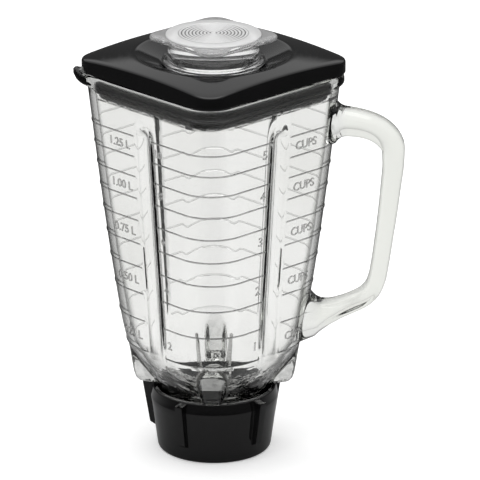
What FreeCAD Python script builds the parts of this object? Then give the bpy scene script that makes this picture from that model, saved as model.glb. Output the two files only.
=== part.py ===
import FreeCAD, Part
import math
import os
import Sketcher
from FreeCAD import Placement, Rotation, Vector

# Jar assembly of a countertop blender, in millimetres.
# +Z is up, the jar's axis is the Z axis and z = 0 is the rim that the screw cap stands on.
# +X points at the handle and -X at the pour lip, so the jar's rounded corners lie on X and Y.

SIZES = {
    # square glass jar: half of the width across the flats, and the corner radius, at five heights
    "wall": 4.0,
    "neck_top": 42.0,
    "neck_half": 33.9,
    "neck_corner": 33.0,
    "bowl_level": 56.0,
    "bowl_half": 41.6,
    "bowl_corner": 35.0,
    "hip_level": 63.0,
    "hip_half": 45.2,
    "hip_corner": 35.0,
    "foot_level": 70.0,
    "foot_half": 47.2,
    "foot_corner": 33.2,
    "waist_level": 110.0,
    "waist_half": 50.2,
    "waist_corner": 26.4,
    "chest_level": 160.0,
    "chest_half": 53.9,
    "chest_corner": 22.6,
    "shoulder_level": 229.0,
    "shoulder_half": 58.7,
    "shoulder_corner": 19.8,
    "bead_bottom": 231.5,
    "jar_top": 237.5,
    "bead_half": 59.6,
    "bead_corner": 15.8,
    # flutes that run down the middle of each flat
    "flute_bottom": 68.0,
    "flute_top": 214.0,
    "flute_radius": 6.5,
    "flute_depth": 3.0,
    "ridge_half": 7.5,
    "ridge_rise": 2.2,
    # four glass feet beside the neck
    "lug_bottom": 41.9,
    "lug_reach": 47.7,
    "lug_inner": 39.8,
    "lug_width": 17.0,
    "lug_heel_out": 1.0,
    "lug_heel_rise": 4.0,
    "lug_knee_out": 3.4,
    "lug_knee_rise": 20.0,
    "lug_top_out": 2.0,
    "lug_top_rise": 24.0,
    # pour lip
    "lip_centre": 68.0,
    "lip_radius": 15.7,
    "lip_root_centre": 64.0,
    "lip_root_radius": 8.4,
    "lip_root_level": 222.0,
    "lip_wall": 3.4,
    "channel_rise": 3.0,
    # threaded neck
    "neck_end": 15.0,
    "neck_radius": 33.2,
    "neck_bore": 30.4,
    "thread_pitch": 6.0,
    "thread_height": 1.0,
    "thread_width": 2.2,
    "thread_turns": 1.6,
    "thread_ease": 0.5,
    "thread_bury": 0.4,
    "jar_thread_start": 19.0,
    "cap_thread_start": 16.0,
    # screw cap
    "cap_bottom_radius": 34.6,
    "cap_bottom_round": 2.0,
    "cap_line_radius": 38.8,
    "cap_line_level": 33.0,
    "cap_rim_radius": 37.7,
    "cap_rim_level": 39.6,
    "cap_bore": 34.5,
    "cap_skirt_bore": 29.5,
    "cap_shoulder_bottom": 8.5,
    "cap_shoulder_top": 11.8,
    "cap_shoulder_bore": 24.5,
    "key_count": 5,
    "key_first_angle": 26.0,
    "key_width": 5.0,
    "key_top_reach": 44.2,
    "key_foot_reach": 40.0,
    "key_foot_level": 12.0,
    "key_tail_level": 9.6,
    "key_top_level": 38.6,
    "key_bury": 0.9,
    "key_tail_out": 1.8,
    # blade unit
    "ring_outer": 32.6,
    "ring_inner": 26.4,
    "ring_thick": 2.0,
    "plate_radius": 32.6,
    "plate_thick": 1.2,
    "plate_dome_radius": 23.0,
    "plate_top_radius": 13.0,
    "plate_top_level": 20.0,
    "housing_radius": 8.0,
    "housing_bottom": 14.2,
    "housing_top": 35.0,
    "housing_flange": 11.5,
    "housing_flange_thick": 2.6,
    "housing_neck_radius": 7.0,
    "plate_washer_thick": 1.0,
    "nut_across": 22.0,
    "nut_thick": 4.0,
    "bush_radius": 6.0,
    "bush_length": 5.2,
    "shaft_radius": 4.0,
    "shaft_fit": 0.05,
    "seal_fit": 0.03,
    "shaft_bottom": 9.2,
    "shaft_shoulder": 38.0,
    "stud_radius": 3.0,
    "stud_top": 49.0,
    "seal_thick": 2.2,
    "thrust_thick": 0.9,
    "thrust_gap": 0.1,
    "thrust_radius": 6.2,
    "clip_thick": 0.9,
    "clip_radius": 6.4,
    "clip_groove": 3.2,
    "drive_side": 9.5,
    "drive_bottom": 8.8,
    "drive_height": 3.3,
    # blades
    "blade_thick": 1.5,
    "hub_half": 9.0,
    "lower_blade_reach": 29.0,
    "lower_blade_rise": 10.0,
    "lower_blade_width": 14.0,
    "upper_blade_reach": 11.5,
    "upper_blade_rise": 30.0,
    "upper_blade_width": 11.0,
    "upper_blade_turn": 15.0,
    "spacer_radius": 6.0,
    "spacer_thick": 2.4,
    "lock_washer_radius": 5.6,
    "lock_washer_thick": 0.9,
    "cap_nut_across": 10.0,
    "cap_nut_height": 3.2,
    "cap_nut_dome": 4.6,
    # lid
    "lid_half": 59.0,
    "lid_corner": 12.4,
    "lid_bottom": 238.0,
    "lid_edge_level": 245.8,
    "lid_crown_radius": 530.0,
    "lid_block_top": 255.0,
    "dish_radius": 46.0,
    "dish_floor_radius": 32.0,
    "dish_floor_level": 243.4,
    "lid_wall": 3.0,
    "plug_half": 50.3,
    "plug_corner": 10.0,
    "plug_bottom": 222.5,
    "lid_hole": 27.6,
    "collar_radius": 30.4,
    "collar_bottom": 231.0,
    "seal_half": 54.0,
    "seal_corner": 15.0,
    "seal_bottom": 226.0,
    "seal_top": 234.0,
    # filler cap
    "cup_radius": 27.2,
    "cup_wall": 2.0,
    "cup_bottom": 223.5,
    "cup_flange_bottom": 243.9,
    "cup_flange_top": 246.4,
    "cup_flange_radius": 31.0,
    "plate_half": 29.7,
    "plate_corner": 10.0,
    "plate_bottom": 257.5,
    "plate_top": 260.5,
    "disc_radius": 28.4,
    "disc_height": 0.9,
    "disc_step_radius": 20.0,
    "disc_step": 0.6,
}

# Sections of the handle from its upper to its lower root, each across the handle's centre line:
# x, z, tilt of the section in degrees, half thickness, half width.
HANDLE = (
    (68.5, 207.4, 90.0, 14.6, 11.5),
    (77.5, 207.6, 92.0, 8.6, 9.8),
    (88.0, 206.2, 98.0, 8.0, 9.5),
    (100.0, 201.4, 125.0, 7.6, 9.5),
    (107.6, 189.0, 176.0, 6.8, 9.5),
    (106.0, 165.0, 187.0, 5.9, 9.5),
    (103.0, 138.0, 188.0, 5.5, 9.5),
    (99.2, 112.0, 189.0, 5.4, 9.5),
    (93.4, 98.6, 225.0, 5.3, 9.5),
    (84.0, 92.6, 243.0, 5.1, 9.5),
    (72.5, 88.4, 250.0, 6.0, 9.6),
    (63.5, 85.6, 261.0, 9.0, 10.2),
    (53.5, 85.0, 270.0, 17.5, 11.5),
)

HANDLE_FIELDS = ("x", "z", "tilt", "half_thick", "half_width")
for number, station in enumerate(HANDLE):
    for field, value in zip(HANDLE_FIELDS, station):
        SIZES["handle%d_%s" % (number, field)] = value

doc = FreeCAD.newDocument("blender_jar")
sheet = doc.addObject("Spreadsheet::Sheet", "Sizes")
for row, (alias, value) in enumerate(SIZES.items(), start=1):
    sheet.set("A%d" % row, alias)
    sheet.set("B%d" % row, str(value))
    sheet.setAlias("B%d" % row, alias)
doc.recompute()


class Size:
    """A length that knows its value and the sheet expression that drives it."""

    def __init__(self, value, text):
        self.value = float(value)
        self.text = text

    def join(self, other, sign, flip=False):
        other = other if isinstance(other, Size) else Size(other, repr(other))
        left, right = (other, self) if flip else (self, other)
        results = {"+": lambda a, b: a + b, "-": lambda a, b: a - b,
                   "*": lambda a, b: a * b, "/": lambda a, b: a / b}
        return Size(results[sign](left.value, right.value), "(%s %s %s)" % (left.text, sign, right.text))

    def __add__(self, other):
        return self.join(other, "+")

    def __radd__(self, other):
        return self.join(other, "+", flip=True)

    def __sub__(self, other):
        return self.join(other, "-")

    def __rsub__(self, other):
        return self.join(other, "-", flip=True)

    def __mul__(self, other):
        return self.join(other, "*")

    def __rmul__(self, other):
        return self.join(other, "*", flip=True)

    def __truediv__(self, other):
        return self.join(other, "/")


def as_size(value):
    return value if isinstance(value, Size) else Size(value, repr(float(value)))


class Sheet:
    """Gives each cell of the sheet as a Size, by its alias."""

    def cell(self, alias):
        return Size(SIZES[alias], "Sizes." + alias)

    def __getattr__(self, alias):
        return self.cell(alias)


S = Sheet()


def root_of(size):
    return Size(math.sqrt(size.value), "sqrt(%s)" % size.text)


def bind(thing, prop, size):
    thing.setExpression(prop, as_size(size).text)


def new_body(label):
    body = doc.addObject("PartDesign::Body", label)
    body.Label = label
    return body


def plane(body, role):
    return [feature for feature in body.Origin.OriginFeatures if feature.Role == role][0]


def new_sketch(body, name, role, level=0.0, turn=0.0):
    """A sketch on one of the body's own planes, raised by level and turned about the plane's normal."""
    sketch = body.newObject("Sketcher::SketchObject", body.Label + "_" + name)
    sketch.AttachmentSupport = [(plane(body, role), "")]
    sketch.MapMode = "FlatFace"
    level = as_size(level)
    sketch.AttachmentOffset = Placement(Vector(0, 0, level.value), Rotation(Vector(0, 0, 1), turn))
    bind(sketch, "AttachmentOffset.Base.z", level)
    return sketch


def pin_point(sketch, geometry, end, across, up):
    """Holds a sketch point at two sizes from the sketch's origin."""
    for kind, size, axis in (("DistanceX", across, -2), ("DistanceY", up, -1)):
        if abs(size.value) < 1e-9:
            sketch.addConstraint(Sketcher.Constraint("PointOnObject", geometry, end, axis))
            continue
        index = sketch.addConstraint(Sketcher.Constraint(kind, -1, 1, geometry, end, size.value))
        bind(sketch, "Constraints[%d]" % index, size)


def outline(sketch, points):
    """A closed outline of straight lines through points, each an (across, up) pair of sizes."""
    points = [(as_size(across), as_size(up)) for across, up in points]
    count = len(points)
    for index in range(count):
        start, end = points[index], points[(index + 1) % count]
        sketch.addGeometry(Part.LineSegment(Vector(start[0].value, start[1].value, 0),
                                            Vector(end[0].value, end[1].value, 0)), False)
    for index in range(count):
        sketch.addConstraint(Sketcher.Constraint("Coincident", index, 2, (index + 1) % count, 1))
        pin_point(sketch, index, 1, *points[index])


def circle(sketch, radius, across=0.0, up=0.0):
    radius, across, up = as_size(radius), as_size(across), as_size(up)
    centre = Vector(across.value, up.value, 0)
    index = sketch.addGeometry(Part.Circle(centre, Vector(0, 0, 1), radius.value), False)
    if abs(across.value) < 1e-9 and abs(up.value) < 1e-9:
        sketch.addConstraint(Sketcher.Constraint("Coincident", index, 3, -1, 1))
    else:
        pin_point(sketch, index, 3, across, up)
    constraint = sketch.addConstraint(Sketcher.Constraint("Radius", index, radius.value))
    bind(sketch, "Constraints[%d]" % constraint, radius)


def rounded_rectangle(sketch, half_across, half_up, corner):
    """A rectangle about the sketch's origin with four equal round corners."""
    a, b, r = as_size(half_across), as_size(half_up), as_size(corner)
    w, v, q = a.value, b.value, r.value
    corners = ((w - q, v - q, 0.0), (q - w, v - q, 90.0), (q - w, q - v, 180.0), (w - q, q - v, 270.0))
    for x, y, start in corners:
        ring = Part.Circle(Vector(x, y, 0), Vector(0, 0, 1), q)
        sketch.addGeometry(Part.ArcOfCircle(ring, math.radians(start), math.radians(start + 90.0)), False)
    sides = (((w - q, v), (q - w, v)), ((-w, v - q), (-w, q - v)),
             ((q - w, -v), (w - q, -v)), ((w, q - v), (w, v - q)))
    for start, end in sides:
        sketch.addGeometry(Part.LineSegment(Vector(*start, 0), Vector(*end, 0)), False)
    for index in range(4):
        sketch.addConstraint(Sketcher.Constraint("Tangent", index, 2, index + 4, 1))
        sketch.addConstraint(Sketcher.Constraint("Tangent", index + 4, 2, (index + 1) % 4, 1))
        kind = "Horizontal" if index % 2 == 0 else "Vertical"
        sketch.addConstraint(Sketcher.Constraint(kind, index + 4))
        if index:
            sketch.addConstraint(Sketcher.Constraint("Equal", 0, index))
    radius = sketch.addConstraint(Sketcher.Constraint("Radius", 0, q))
    bind(sketch, "Constraints[%d]" % radius, r)
    reaches = (("DistanceY", (-1, 1, 4, 1), b), ("DistanceX", (5, 1, -1, 1), a),
               ("DistanceY", (6, 1, -1, 1), b), ("DistanceX", (-1, 1, 7, 1), a))
    for kind, ends, size in reaches:
        index = sketch.addConstraint(Sketcher.Constraint(kind, *ends, size.value))
        bind(sketch, "Constraints[%d]" % index, size)


def revolve(body, name, points, kind="PartDesign::Revolution"):
    """Turns an outline in the XZ plane a full turn about the Z axis."""
    sketch = new_sketch(body, name + "_profile", "XZ_Plane")
    outline(sketch, points)
    feature = body.newObject(kind, body.Label + "_" + name)
    feature.Profile = sketch
    feature.ReferenceAxis = (sketch, ["V_Axis"])
    feature.Angle = 360.0
    return feature


def pad(body, name, sketch, length, midplane=False, down=False):
    feature = body.newObject("PartDesign::Pad", body.Label + "_" + name)
    feature.Profile = sketch
    bind(feature, "Length", length)
    feature.Midplane = midplane
    feature.Reversed = down
    return feature


def pocket(body, name, sketch, length, up=False, midplane=False):
    """A pocket that cuts downwards from its sketch, or upwards."""
    feature = body.newObject("PartDesign::Pocket", body.Label + "_" + name)
    feature.Profile = sketch
    bind(feature, "Length", length)
    feature.Reversed = up
    feature.Midplane = midplane
    return feature


def loft(body, name, sketches, kind="PartDesign::AdditiveLoft", ruled=False):
    feature = body.newObject(kind, body.Label + "_" + name)
    feature.Profile = sketches[0]
    feature.Sections = sketches[1:]
    feature.Ruled = ruled
    return feature


def around(body, name, features, count):
    """Repeats features at equal angles about the Z axis."""
    feature = body.newObject("PartDesign::PolarPattern", body.Label + "_" + name)
    feature.Originals = features
    feature.Axis = (plane(body, "Z_Axis"), [""])
    feature.Angle = 360.0
    feature.Occurrences = count
    body.Tip = feature
    return feature


def thread(body, root, crest, start):
    """A right-hand screw thread whose lower edge starts at a level, eased from root to crest."""
    sketch = new_sketch(body, "thread_profile", "XZ_Plane")
    end = start + S.thread_width
    outline(sketch, ((root, start), (crest, start + S.thread_ease), (crest, end - S.thread_ease),
                     (root, end)))
    feature = body.newObject("PartDesign::AdditiveHelix", body.Label + "_thread")
    feature.Profile = sketch
    feature.ReferenceAxis = (sketch, ["V_Axis"])
    feature.Mode = 0
    bind(feature, "Pitch", S.thread_pitch)
    bind(feature, "Height", S.thread_pitch * S.thread_turns)
    feature.Angle = 0.0
    feature.Growth = 0.0
    feature.LeftHanded = False
    feature.Reversed = False
    return feature


JAR_LEVELS = (
    (S.neck_top, S.neck_half, S.neck_corner),
    (S.bowl_level, S.bowl_half, S.bowl_corner),
    (S.hip_level, S.hip_half, S.hip_corner),
    (S.foot_level, S.foot_half, S.foot_corner),
    (S.waist_level, S.waist_half, S.waist_corner),
    (S.chest_level, S.chest_half, S.chest_corner),
    (S.shoulder_level, S.shoulder_half, S.shoulder_corner),
)


def square_section(body, name, level, half, corner):
    """A rounded square across the jar, its corners on the X and Y axes."""
    sketch = new_sketch(body, name, "XY_Plane", level, 45.0)
    rounded_rectangle(sketch, half, half, corner)
    return sketch


def flat_face_at(level):
    """Half width across the flats at a level between the foot and the shoulder, which is straight."""
    share = (level - S.foot_level) / (S.shoulder_level - S.foot_level)
    return S.foot_half + (S.shoulder_half - S.foot_half) * share


def make_jar():
    body = new_body("glass_jar")
    outer = [square_section(body, "outer%d" % i, *level) for i, level in enumerate(JAR_LEVELS)]
    loft(body, "walls", outer, ruled=True)
    bead = [square_section(body, "bead_foot", S.shoulder_level, S.shoulder_half, S.shoulder_corner),
            square_section(body, "bead_low", S.bead_bottom, S.bead_half, S.bead_corner)]
    loft(body, "bead_flare", bead, ruled=True)
    top = square_section(body, "bead_top", S.bead_bottom, S.bead_half, S.bead_corner)
    pad(body, "bead", top, S.jar_top - S.bead_bottom)
    lip = []
    for name, level, centre, radius in (("lip_low", S.lip_root_level, S.lip_root_centre, S.lip_root_radius),
                                        ("lip_high", S.jar_top, S.lip_centre, S.lip_radius)):
        sketch = new_sketch(body, name, "XY_Plane", level, 180.0)
        circle(sketch, radius, centre, 0.0)
        lip.append(sketch)
    loft(body, "pour_lip", lip)
    # neck and feet
    neck = new_sketch(body, "neck_circle", "XY_Plane", S.neck_end)
    circle(neck, S.neck_radius)
    pad(body, "neck", neck, S.neck_top - S.neck_end + 1.0)
    lug = new_sketch(body, "lug_profile", "XZ_Plane")
    outline(lug, ((S.lug_inner, S.lug_bottom), (S.lug_reach, S.lug_bottom),
                  (S.lug_reach + S.lug_heel_out, S.lug_bottom + S.lug_heel_rise),
                  (S.lug_reach + S.lug_knee_out, S.lug_bottom + S.lug_knee_rise),
                  (S.lug_reach + S.lug_top_out, S.lug_bottom + S.lug_top_rise),
                  (S.lug_inner, S.lug_bottom + S.lug_top_rise)))
    lug_pad = pad(body, "lug", lug, S.lug_width, midplane=True)
    around(body, "lugs", [lug_pad], 4)
    # flutes
    flutes = []
    for name, level in (("flute_low", S.flute_bottom), ("flute_high", S.flute_top)):
        sketch = new_sketch(body, name, "XY_Plane", level, 45.0)
        circle(sketch, S.flute_radius, flat_face_at(level) + S.flute_radius - S.flute_depth, 0.0)
        flutes.append(sketch)
    flute = loft(body, "flute", flutes, "PartDesign::SubtractiveLoft")
    around(body, "flutes", [flute], 4)
    make_handle(body)
    # inside
    inner = [square_section(body, "inner%d" % i, level, half - S.wall, corner - S.wall)
             for i, (level, half, corner) in enumerate(JAR_LEVELS)]
    inner.append(square_section(body, "inner_top", S.jar_top + 1.0, S.shoulder_half - S.wall + 0.6,
                                S.shoulder_corner - S.wall))
    loft(body, "inside", inner, "PartDesign::SubtractiveLoft", ruled=True)
    channel = []
    for name, level, centre, radius in (("channel_low", S.lip_root_level + S.channel_rise,
                                         S.lip_root_centre - 1.0, S.lip_root_radius - S.lip_wall),
                                        ("channel_high", S.jar_top + 0.5, S.lip_centre,
                                         S.lip_radius - S.lip_wall)):
        sketch = new_sketch(body, name, "XY_Plane", level, 180.0)
        circle(sketch, radius, centre, 0.0)
        channel.append(sketch)
    loft(body, "lip_channel", channel, "PartDesign::SubtractiveLoft")
    bore = new_sketch(body, "neck_bore", "XY_Plane", S.neck_end - 1.0)
    circle(bore, S.neck_bore)
    pocket(body, "neck_bore_cut", bore, S.neck_top - S.neck_end + 2.5, up=True)
    # ridges inside, behind the flutes
    ridges = []
    for name, level in (("ridge_low", S.flute_bottom + 4.0), ("ridge_high", S.flute_top)):
        sketch = new_sketch(body, name, "XY_Plane", level, 45.0)
        face = flat_face_at(level) - S.wall
        outline(sketch, ((face + 0.8, S.ridge_half), (face - S.ridge_rise, S.ridge_half * 0.4),
                         (face - S.ridge_rise, S.ridge_half * -0.4), (face + 0.8, S.ridge_half * -1.0)))
        ridges.append(sketch)
    ridge = loft(body, "ridge", ridges, ruled=True)
    around(body, "ridges", [ridge], 4)
    thread(body, S.neck_radius - S.thread_bury, S.neck_radius + S.thread_height, S.jar_thread_start)
    return body


def make_handle(body):
    sections = []
    for number in range(len(HANDLE)):
        x, z, tilt, half_thick, half_width = [S.cell("handle%d_%s" % (number, field))
                                              for field in HANDLE_FIELDS]
        sketch = new_sketch(body, "handle%d" % number, "XY_Plane", z)
        sketch.AttachmentOffset = Placement(Vector(x.value, 0, z.value),
                                            Rotation(Vector(0, 1, 0), tilt.value))
        bind(sketch, "AttachmentOffset.Base.x", x)
        bind(sketch, "AttachmentOffset.Rotation.Angle", tilt)
        rounded_rectangle(sketch, half_thick, half_width, half_thick * 0.8)
        sections.append(sketch)
    loft(body, "handle", sections)


def make_base_cap():
    body = new_body("base_cap")
    r = S.cap_bottom_round
    revolve(body, "shell", (
        (S.cap_skirt_bore, 0.0), (S.cap_bottom_radius - r, 0.0),
        (S.cap_bottom_radius - r * 0.3, r * 0.3), (S.cap_bottom_radius + 0.3, r),
        (S.cap_line_radius, S.cap_line_level), (S.cap_rim_radius, S.cap_rim_level),
        (S.cap_bore, S.cap_rim_level), (S.cap_bore, S.cap_shoulder_top),
        (S.cap_shoulder_bore, S.cap_shoulder_top), (S.cap_shoulder_bore, S.cap_shoulder_bottom),
        (S.cap_skirt_bore, S.cap_shoulder_bottom)))
    key = new_sketch(body, "key_profile", "XZ_Plane")
    outline(key, ((S.cap_bore + S.key_bury, S.key_tail_level),
                  (S.cap_bottom_radius + S.key_tail_out, S.key_tail_level),
                  (S.key_foot_reach, S.key_foot_level), (S.key_top_reach, S.key_top_level),
                  (S.cap_bore + S.key_bury, S.key_top_level)))
    first = pad(body, "key", key, S.key_width, midplane=True)
    around(body, "keys", [first], int(SIZES["key_count"]))
    thread(body, S.cap_bore + S.thread_bury, S.cap_bore - S.thread_height, S.cap_thread_start)
    body.Placement = Placement(Vector(0, 0, 0), Rotation(Vector(0, 0, 1), SIZES["key_first_angle"]))
    return body


def ring(label, inner, outer, bottom, top):
    """A plain ring or bush about the Z axis."""
    body = new_body(label)
    revolve(body, "ring", ((inner, bottom), (outer, bottom), (outer, top), (inner, top)))
    return body


def make_bearing_plate():
    body = new_body("bearing_plate")
    low, t = S.cap_shoulder_top, S.plate_thick
    hole = S.housing_radius + S.shaft_fit
    revolve(body, "dome", (
        (S.plate_radius, low), (S.plate_radius, low + t), (S.plate_dome_radius, low + t),
        (S.plate_top_radius, S.plate_top_level), (hole, S.plate_top_level),
        (hole, S.plate_top_level - t), (S.plate_top_radius - 0.4, S.plate_top_level - t),
        (S.plate_dome_radius - 0.4, low)))
    return body


def make_housing():
    body = new_body("bearing_housing")
    bore = S.shaft_radius + 0.6
    pocket_radius = S.bush_radius
    flange_low = S.plate_top_level + S.plate_washer_thick
    flange_high = flange_low + S.housing_flange_thick
    revolve(body, "housing", (
        (bore, S.housing_bottom + S.bush_length), (pocket_radius, S.housing_bottom + S.bush_length),
        (pocket_radius, S.housing_bottom), (S.housing_radius, S.housing_bottom),
        (S.housing_radius, flange_low), (S.housing_flange, flange_low), (S.housing_flange, flange_high),
        (S.housing_radius, flange_high + 1.2), (S.housing_neck_radius + 0.4, S.housing_top),
        (pocket_radius, S.housing_top),
        (pocket_radius, S.housing_top - S.seal_thick - S.bush_length),
        (bore, S.housing_top - S.seal_thick - S.bush_length)))
    return body


def hexagon_ring(label, across, hole, bottom, thick):
    """A plain hexagon nut about the Z axis."""
    body = new_body(label)
    sketch = new_sketch(body, "hexagon", "XY_Plane", bottom)
    radius = across / math.sqrt(3.0)
    corners = [Vector(radius.value * math.cos(math.radians(60 * i + 30)),
                      radius.value * math.sin(math.radians(60 * i + 30)), 0) for i in range(6)]
    for i in range(6):
        sketch.addGeometry(Part.LineSegment(corners[i], corners[(i + 1) % 6]), False)
    guide = sketch.addGeometry(Part.Circle(Vector(0, 0, 0), Vector(0, 0, 1), radius.value), True)
    sketch.addConstraint(Sketcher.Constraint("Coincident", guide, 3, -1, 1))
    for i in range(6):
        sketch.addConstraint(Sketcher.Constraint("Coincident", i, 2, (i + 1) % 6, 1))
        sketch.addConstraint(Sketcher.Constraint("PointOnObject", i, 1, guide))
        if i:
            sketch.addConstraint(Sketcher.Constraint("Equal", 0, i))
    sketch.addConstraint(Sketcher.Constraint("Vertical", 5))
    index = sketch.addConstraint(Sketcher.Constraint("Radius", guide, radius.value))
    bind(sketch, "Constraints[%d]" % index, radius)
    if hole is not None:
        circle(sketch, hole)
    pad(body, "nut", sketch, thick)
    return body


def make_shaft():
    body = new_body("drive_shaft")
    clip_high = S.housing_bottom - S.thrust_gap - S.thrust_thick
    clip_low = clip_high - S.clip_thick
    revolve(body, "shaft", (
        (0.0, S.shaft_bottom), (S.shaft_radius - 1.0, S.shaft_bottom), (S.shaft_radius - 1.0, clip_low - 0.1),
        (S.clip_groove, clip_low - 0.1), (S.clip_groove, clip_high), (S.shaft_radius, clip_high),
        (S.shaft_radius, S.shaft_shoulder), (S.stud_radius, S.shaft_shoulder),
        (S.stud_radius, S.stud_top), (0.0, S.stud_top)))
    return body


def make_blades(label, level, reach, rise, width, turn):
    """Two bent arms on a flat hub with a hole, ending in pointed tips."""
    body = new_body(label)
    t = S.blade_thick
    side = new_sketch(body, "side", "XZ_Plane")
    right = [(S.hub_half, level), (reach, level + rise), (reach - t * 0.3, level + rise + t),
             (S.hub_half - t * 0.3, level + t)]
    left = [(x * -1.0, z) for x, z in reversed(right)]
    outline(side, right + left)
    pad(body, "arms", side, width, midplane=True)
    for name, flip in (("tip_right", 0.0), ("tip_left", 180.0)):
        tip = new_sketch(body, name, "XY_Plane", level - 1.0, flip)
        outline(tip, ((S.hub_half + 1.0, width * 0.5 + 0.01), (reach + 0.5, width * -0.1),
                      (reach + 1.0, width * 0.5 + 0.01)))
        pocket(body, name + "_cut", tip, rise + t + 3.0, up=True)
        waist = new_sketch(body, name + "_waist", "XY_Plane", level - 1.0, flip)
        outline(waist, ((S.hub_half * 0.7, width * -0.5 - 0.01), (reach + 0.5, width * -0.5 - 0.01),
                        (reach + 0.5, width * -0.42), (S.hub_half + 3.0, width * -0.38)))
        pocket(body, name + "_waist_cut", waist, rise + t + 3.0, up=True)
    hole = new_sketch(body, "hole", "XY_Plane", level - 1.0)
    circle(hole, S.stud_radius + S.shaft_fit)
    pocket(body, "hole_cut", hole, t + 2.0, up=True)
    body.Placement = Placement(Vector(0, 0, 0), Rotation(Vector(0, 0, 1), turn))
    return body


def make_cap_nut(level):
    body = hexagon_ring("cap_nut", S.cap_nut_across, S.stud_radius + 0.02, level, S.cap_nut_height)
    top = level + S.cap_nut_height
    revolve(body, "dome", ((0.0, S.stud_top + 0.05), (S.stud_radius + 0.02, S.stud_top + 0.05),
                           (S.stud_radius + 0.02, top - 0.2), (S.cap_nut_dome, top - 0.2),
                           (S.cap_nut_dome, top + 0.6), (S.cap_nut_dome * 0.8, top + 2.2),
                           (S.cap_nut_dome * 0.4, top + 3.2), (0.0, top + 3.4)))
    return body


def make_drive_square():
    body = new_body("drive_square")
    sketch = new_sketch(body, "square", "XY_Plane", S.drive_bottom)
    rounded_rectangle(sketch, S.drive_side / 2.0, S.drive_side / 2.0, 0.8)
    pad(body, "square_block", sketch, S.drive_height)
    hole = new_sketch(body, "hole", "XY_Plane", S.shaft_bottom)
    circle(hole, S.shaft_radius - 1.0 + 0.02)
    pocket(body, "hole_cut", hole, S.drive_height, up=True)
    return body


def crown(radius):
    """Height of the lid's spherical crown at a radius."""
    edge = S.lid_half * math.sqrt(2.0) - S.lid_corner * (math.sqrt(2.0) - 1.0)
    ball = S.lid_crown_radius
    return S.lid_edge_level + root_of(ball * ball - radius * radius) - root_of(ball * ball - edge * edge)


def crown_points(start, end, drop, steps):
    """Points along the crown between two radii, lowered by drop."""
    radii = [start + (end - start) * (i / steps) for i in range(steps + 1)]
    return [(radius, crown(radius) - drop) for radius in radii]


def make_lid():
    body = new_body("lid_shell")
    block = new_sketch(body, "block", "XY_Plane", S.lid_bottom, 45.0)
    rounded_rectangle(block, S.lid_half, S.lid_half, S.lid_corner)
    pad(body, "block_pad", block, S.lid_block_top - S.lid_bottom)
    rim = S.lid_half * 1.45
    top = [(0.0, S.dish_floor_level), (S.dish_floor_radius, S.dish_floor_level)]
    top += crown_points(S.dish_radius, rim, 0.0, 6)
    top += [(rim, S.lid_block_top + 2.0), (0.0, S.lid_block_top + 2.0)]
    revolve(body, "crown", top, "PartDesign::Groove")
    plug = new_sketch(body, "plug", "XY_Plane", S.lid_bottom + 0.5, 45.0)
    rounded_rectangle(plug, S.plug_half, S.plug_half, S.plug_corner)
    pad(body, "plug_pad", plug, S.lid_bottom + 0.5 - S.plug_bottom, down=True)
    inside = new_sketch(body, "plug_inside", "XY_Plane", S.plug_bottom, 45.0)
    rounded_rectangle(inside, S.plug_half - S.lid_wall, S.plug_half - S.lid_wall,
                      S.plug_corner - S.lid_wall)
    pocket(body, "plug_hollow", inside, S.dish_floor_level - S.lid_wall - S.plug_bottom, up=True)
    floor = S.dish_floor_level - S.lid_wall - 0.1
    hollow = [(S.dish_floor_radius + 1.6, floor)]
    hollow += crown_points(S.dish_radius + 0.6, S.plug_half - 3.5, S.lid_wall, 1)
    hollow += [(S.plug_half - 3.5, floor)]
    revolve(body, "crown_hollow", hollow, "PartDesign::Groove")
    collar = new_sketch(body, "collar", "XY_Plane", S.dish_floor_level - 1.0)
    circle(collar, S.collar_radius)
    pad(body, "collar_pad", collar, S.dish_floor_level - 1.0 - S.collar_bottom, down=True)
    hole = new_sketch(body, "filler_hole", "XY_Plane", S.collar_bottom - 1.0)
    circle(hole, S.lid_hole)
    pocket(body, "filler_hole_cut", hole, S.dish_floor_level - S.collar_bottom + 4.0, up=True)
    return body


def make_lid_seal():
    body = new_body("lid_seal")
    tube = square_section(body, "outside", S.seal_bottom, S.plug_half + 1.8, S.plug_corner + 1.8)
    pad(body, "band", tube, S.seal_top - S.seal_bottom)
    for index in range(3):
        level = S.seal_bottom + 0.6 + (S.seal_top - S.seal_bottom - 2.4) * (index / 2.0)
        fin = square_section(body, "lip%d" % index, level, S.seal_half, S.seal_corner)
        pad(body, "lip%d_pad" % index, fin, 1.2)
    inside = square_section(body, "inside", S.seal_bottom - 1.0, S.plug_half, S.plug_corner)
    pocket(body, "inside_cut", inside, S.seal_top - S.seal_bottom + 2.0, up=True)
    return body


def make_filler_cap():
    body = new_body("filler_cap")
    top = new_sketch(body, "plate", "XY_Plane", S.plate_bottom, 45.0)
    rounded_rectangle(top, S.plate_half, S.plate_half, S.plate_corner)
    pad(body, "plate_pad", top, S.plate_top - S.plate_bottom)
    inner = S.cup_radius - S.cup_wall
    revolve(body, "cup", (
        (inner, S.cup_bottom), (S.cup_radius, S.cup_bottom), (S.cup_radius, S.cup_flange_bottom),
        (S.cup_flange_radius, S.cup_flange_bottom), (S.cup_flange_radius, S.cup_flange_top),
        (S.cup_radius, S.cup_flange_top), (S.cup_radius, S.plate_bottom + 0.5),
        (inner, S.plate_bottom + 0.5)))
    revolve(body, "disc", (
        (0.0, S.plate_top - 0.5), (S.disc_radius, S.plate_top - 0.5),
        (S.disc_radius, S.plate_top + S.disc_height), (S.disc_step_radius, S.plate_top + S.disc_height),
        (S.disc_step_radius, S.plate_top + S.disc_height + S.disc_step),
        (0.0, S.plate_top + S.disc_height + S.disc_step)))
    return body


make_jar()
make_base_cap()
make_lid()
make_lid_seal()
make_filler_cap()

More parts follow.
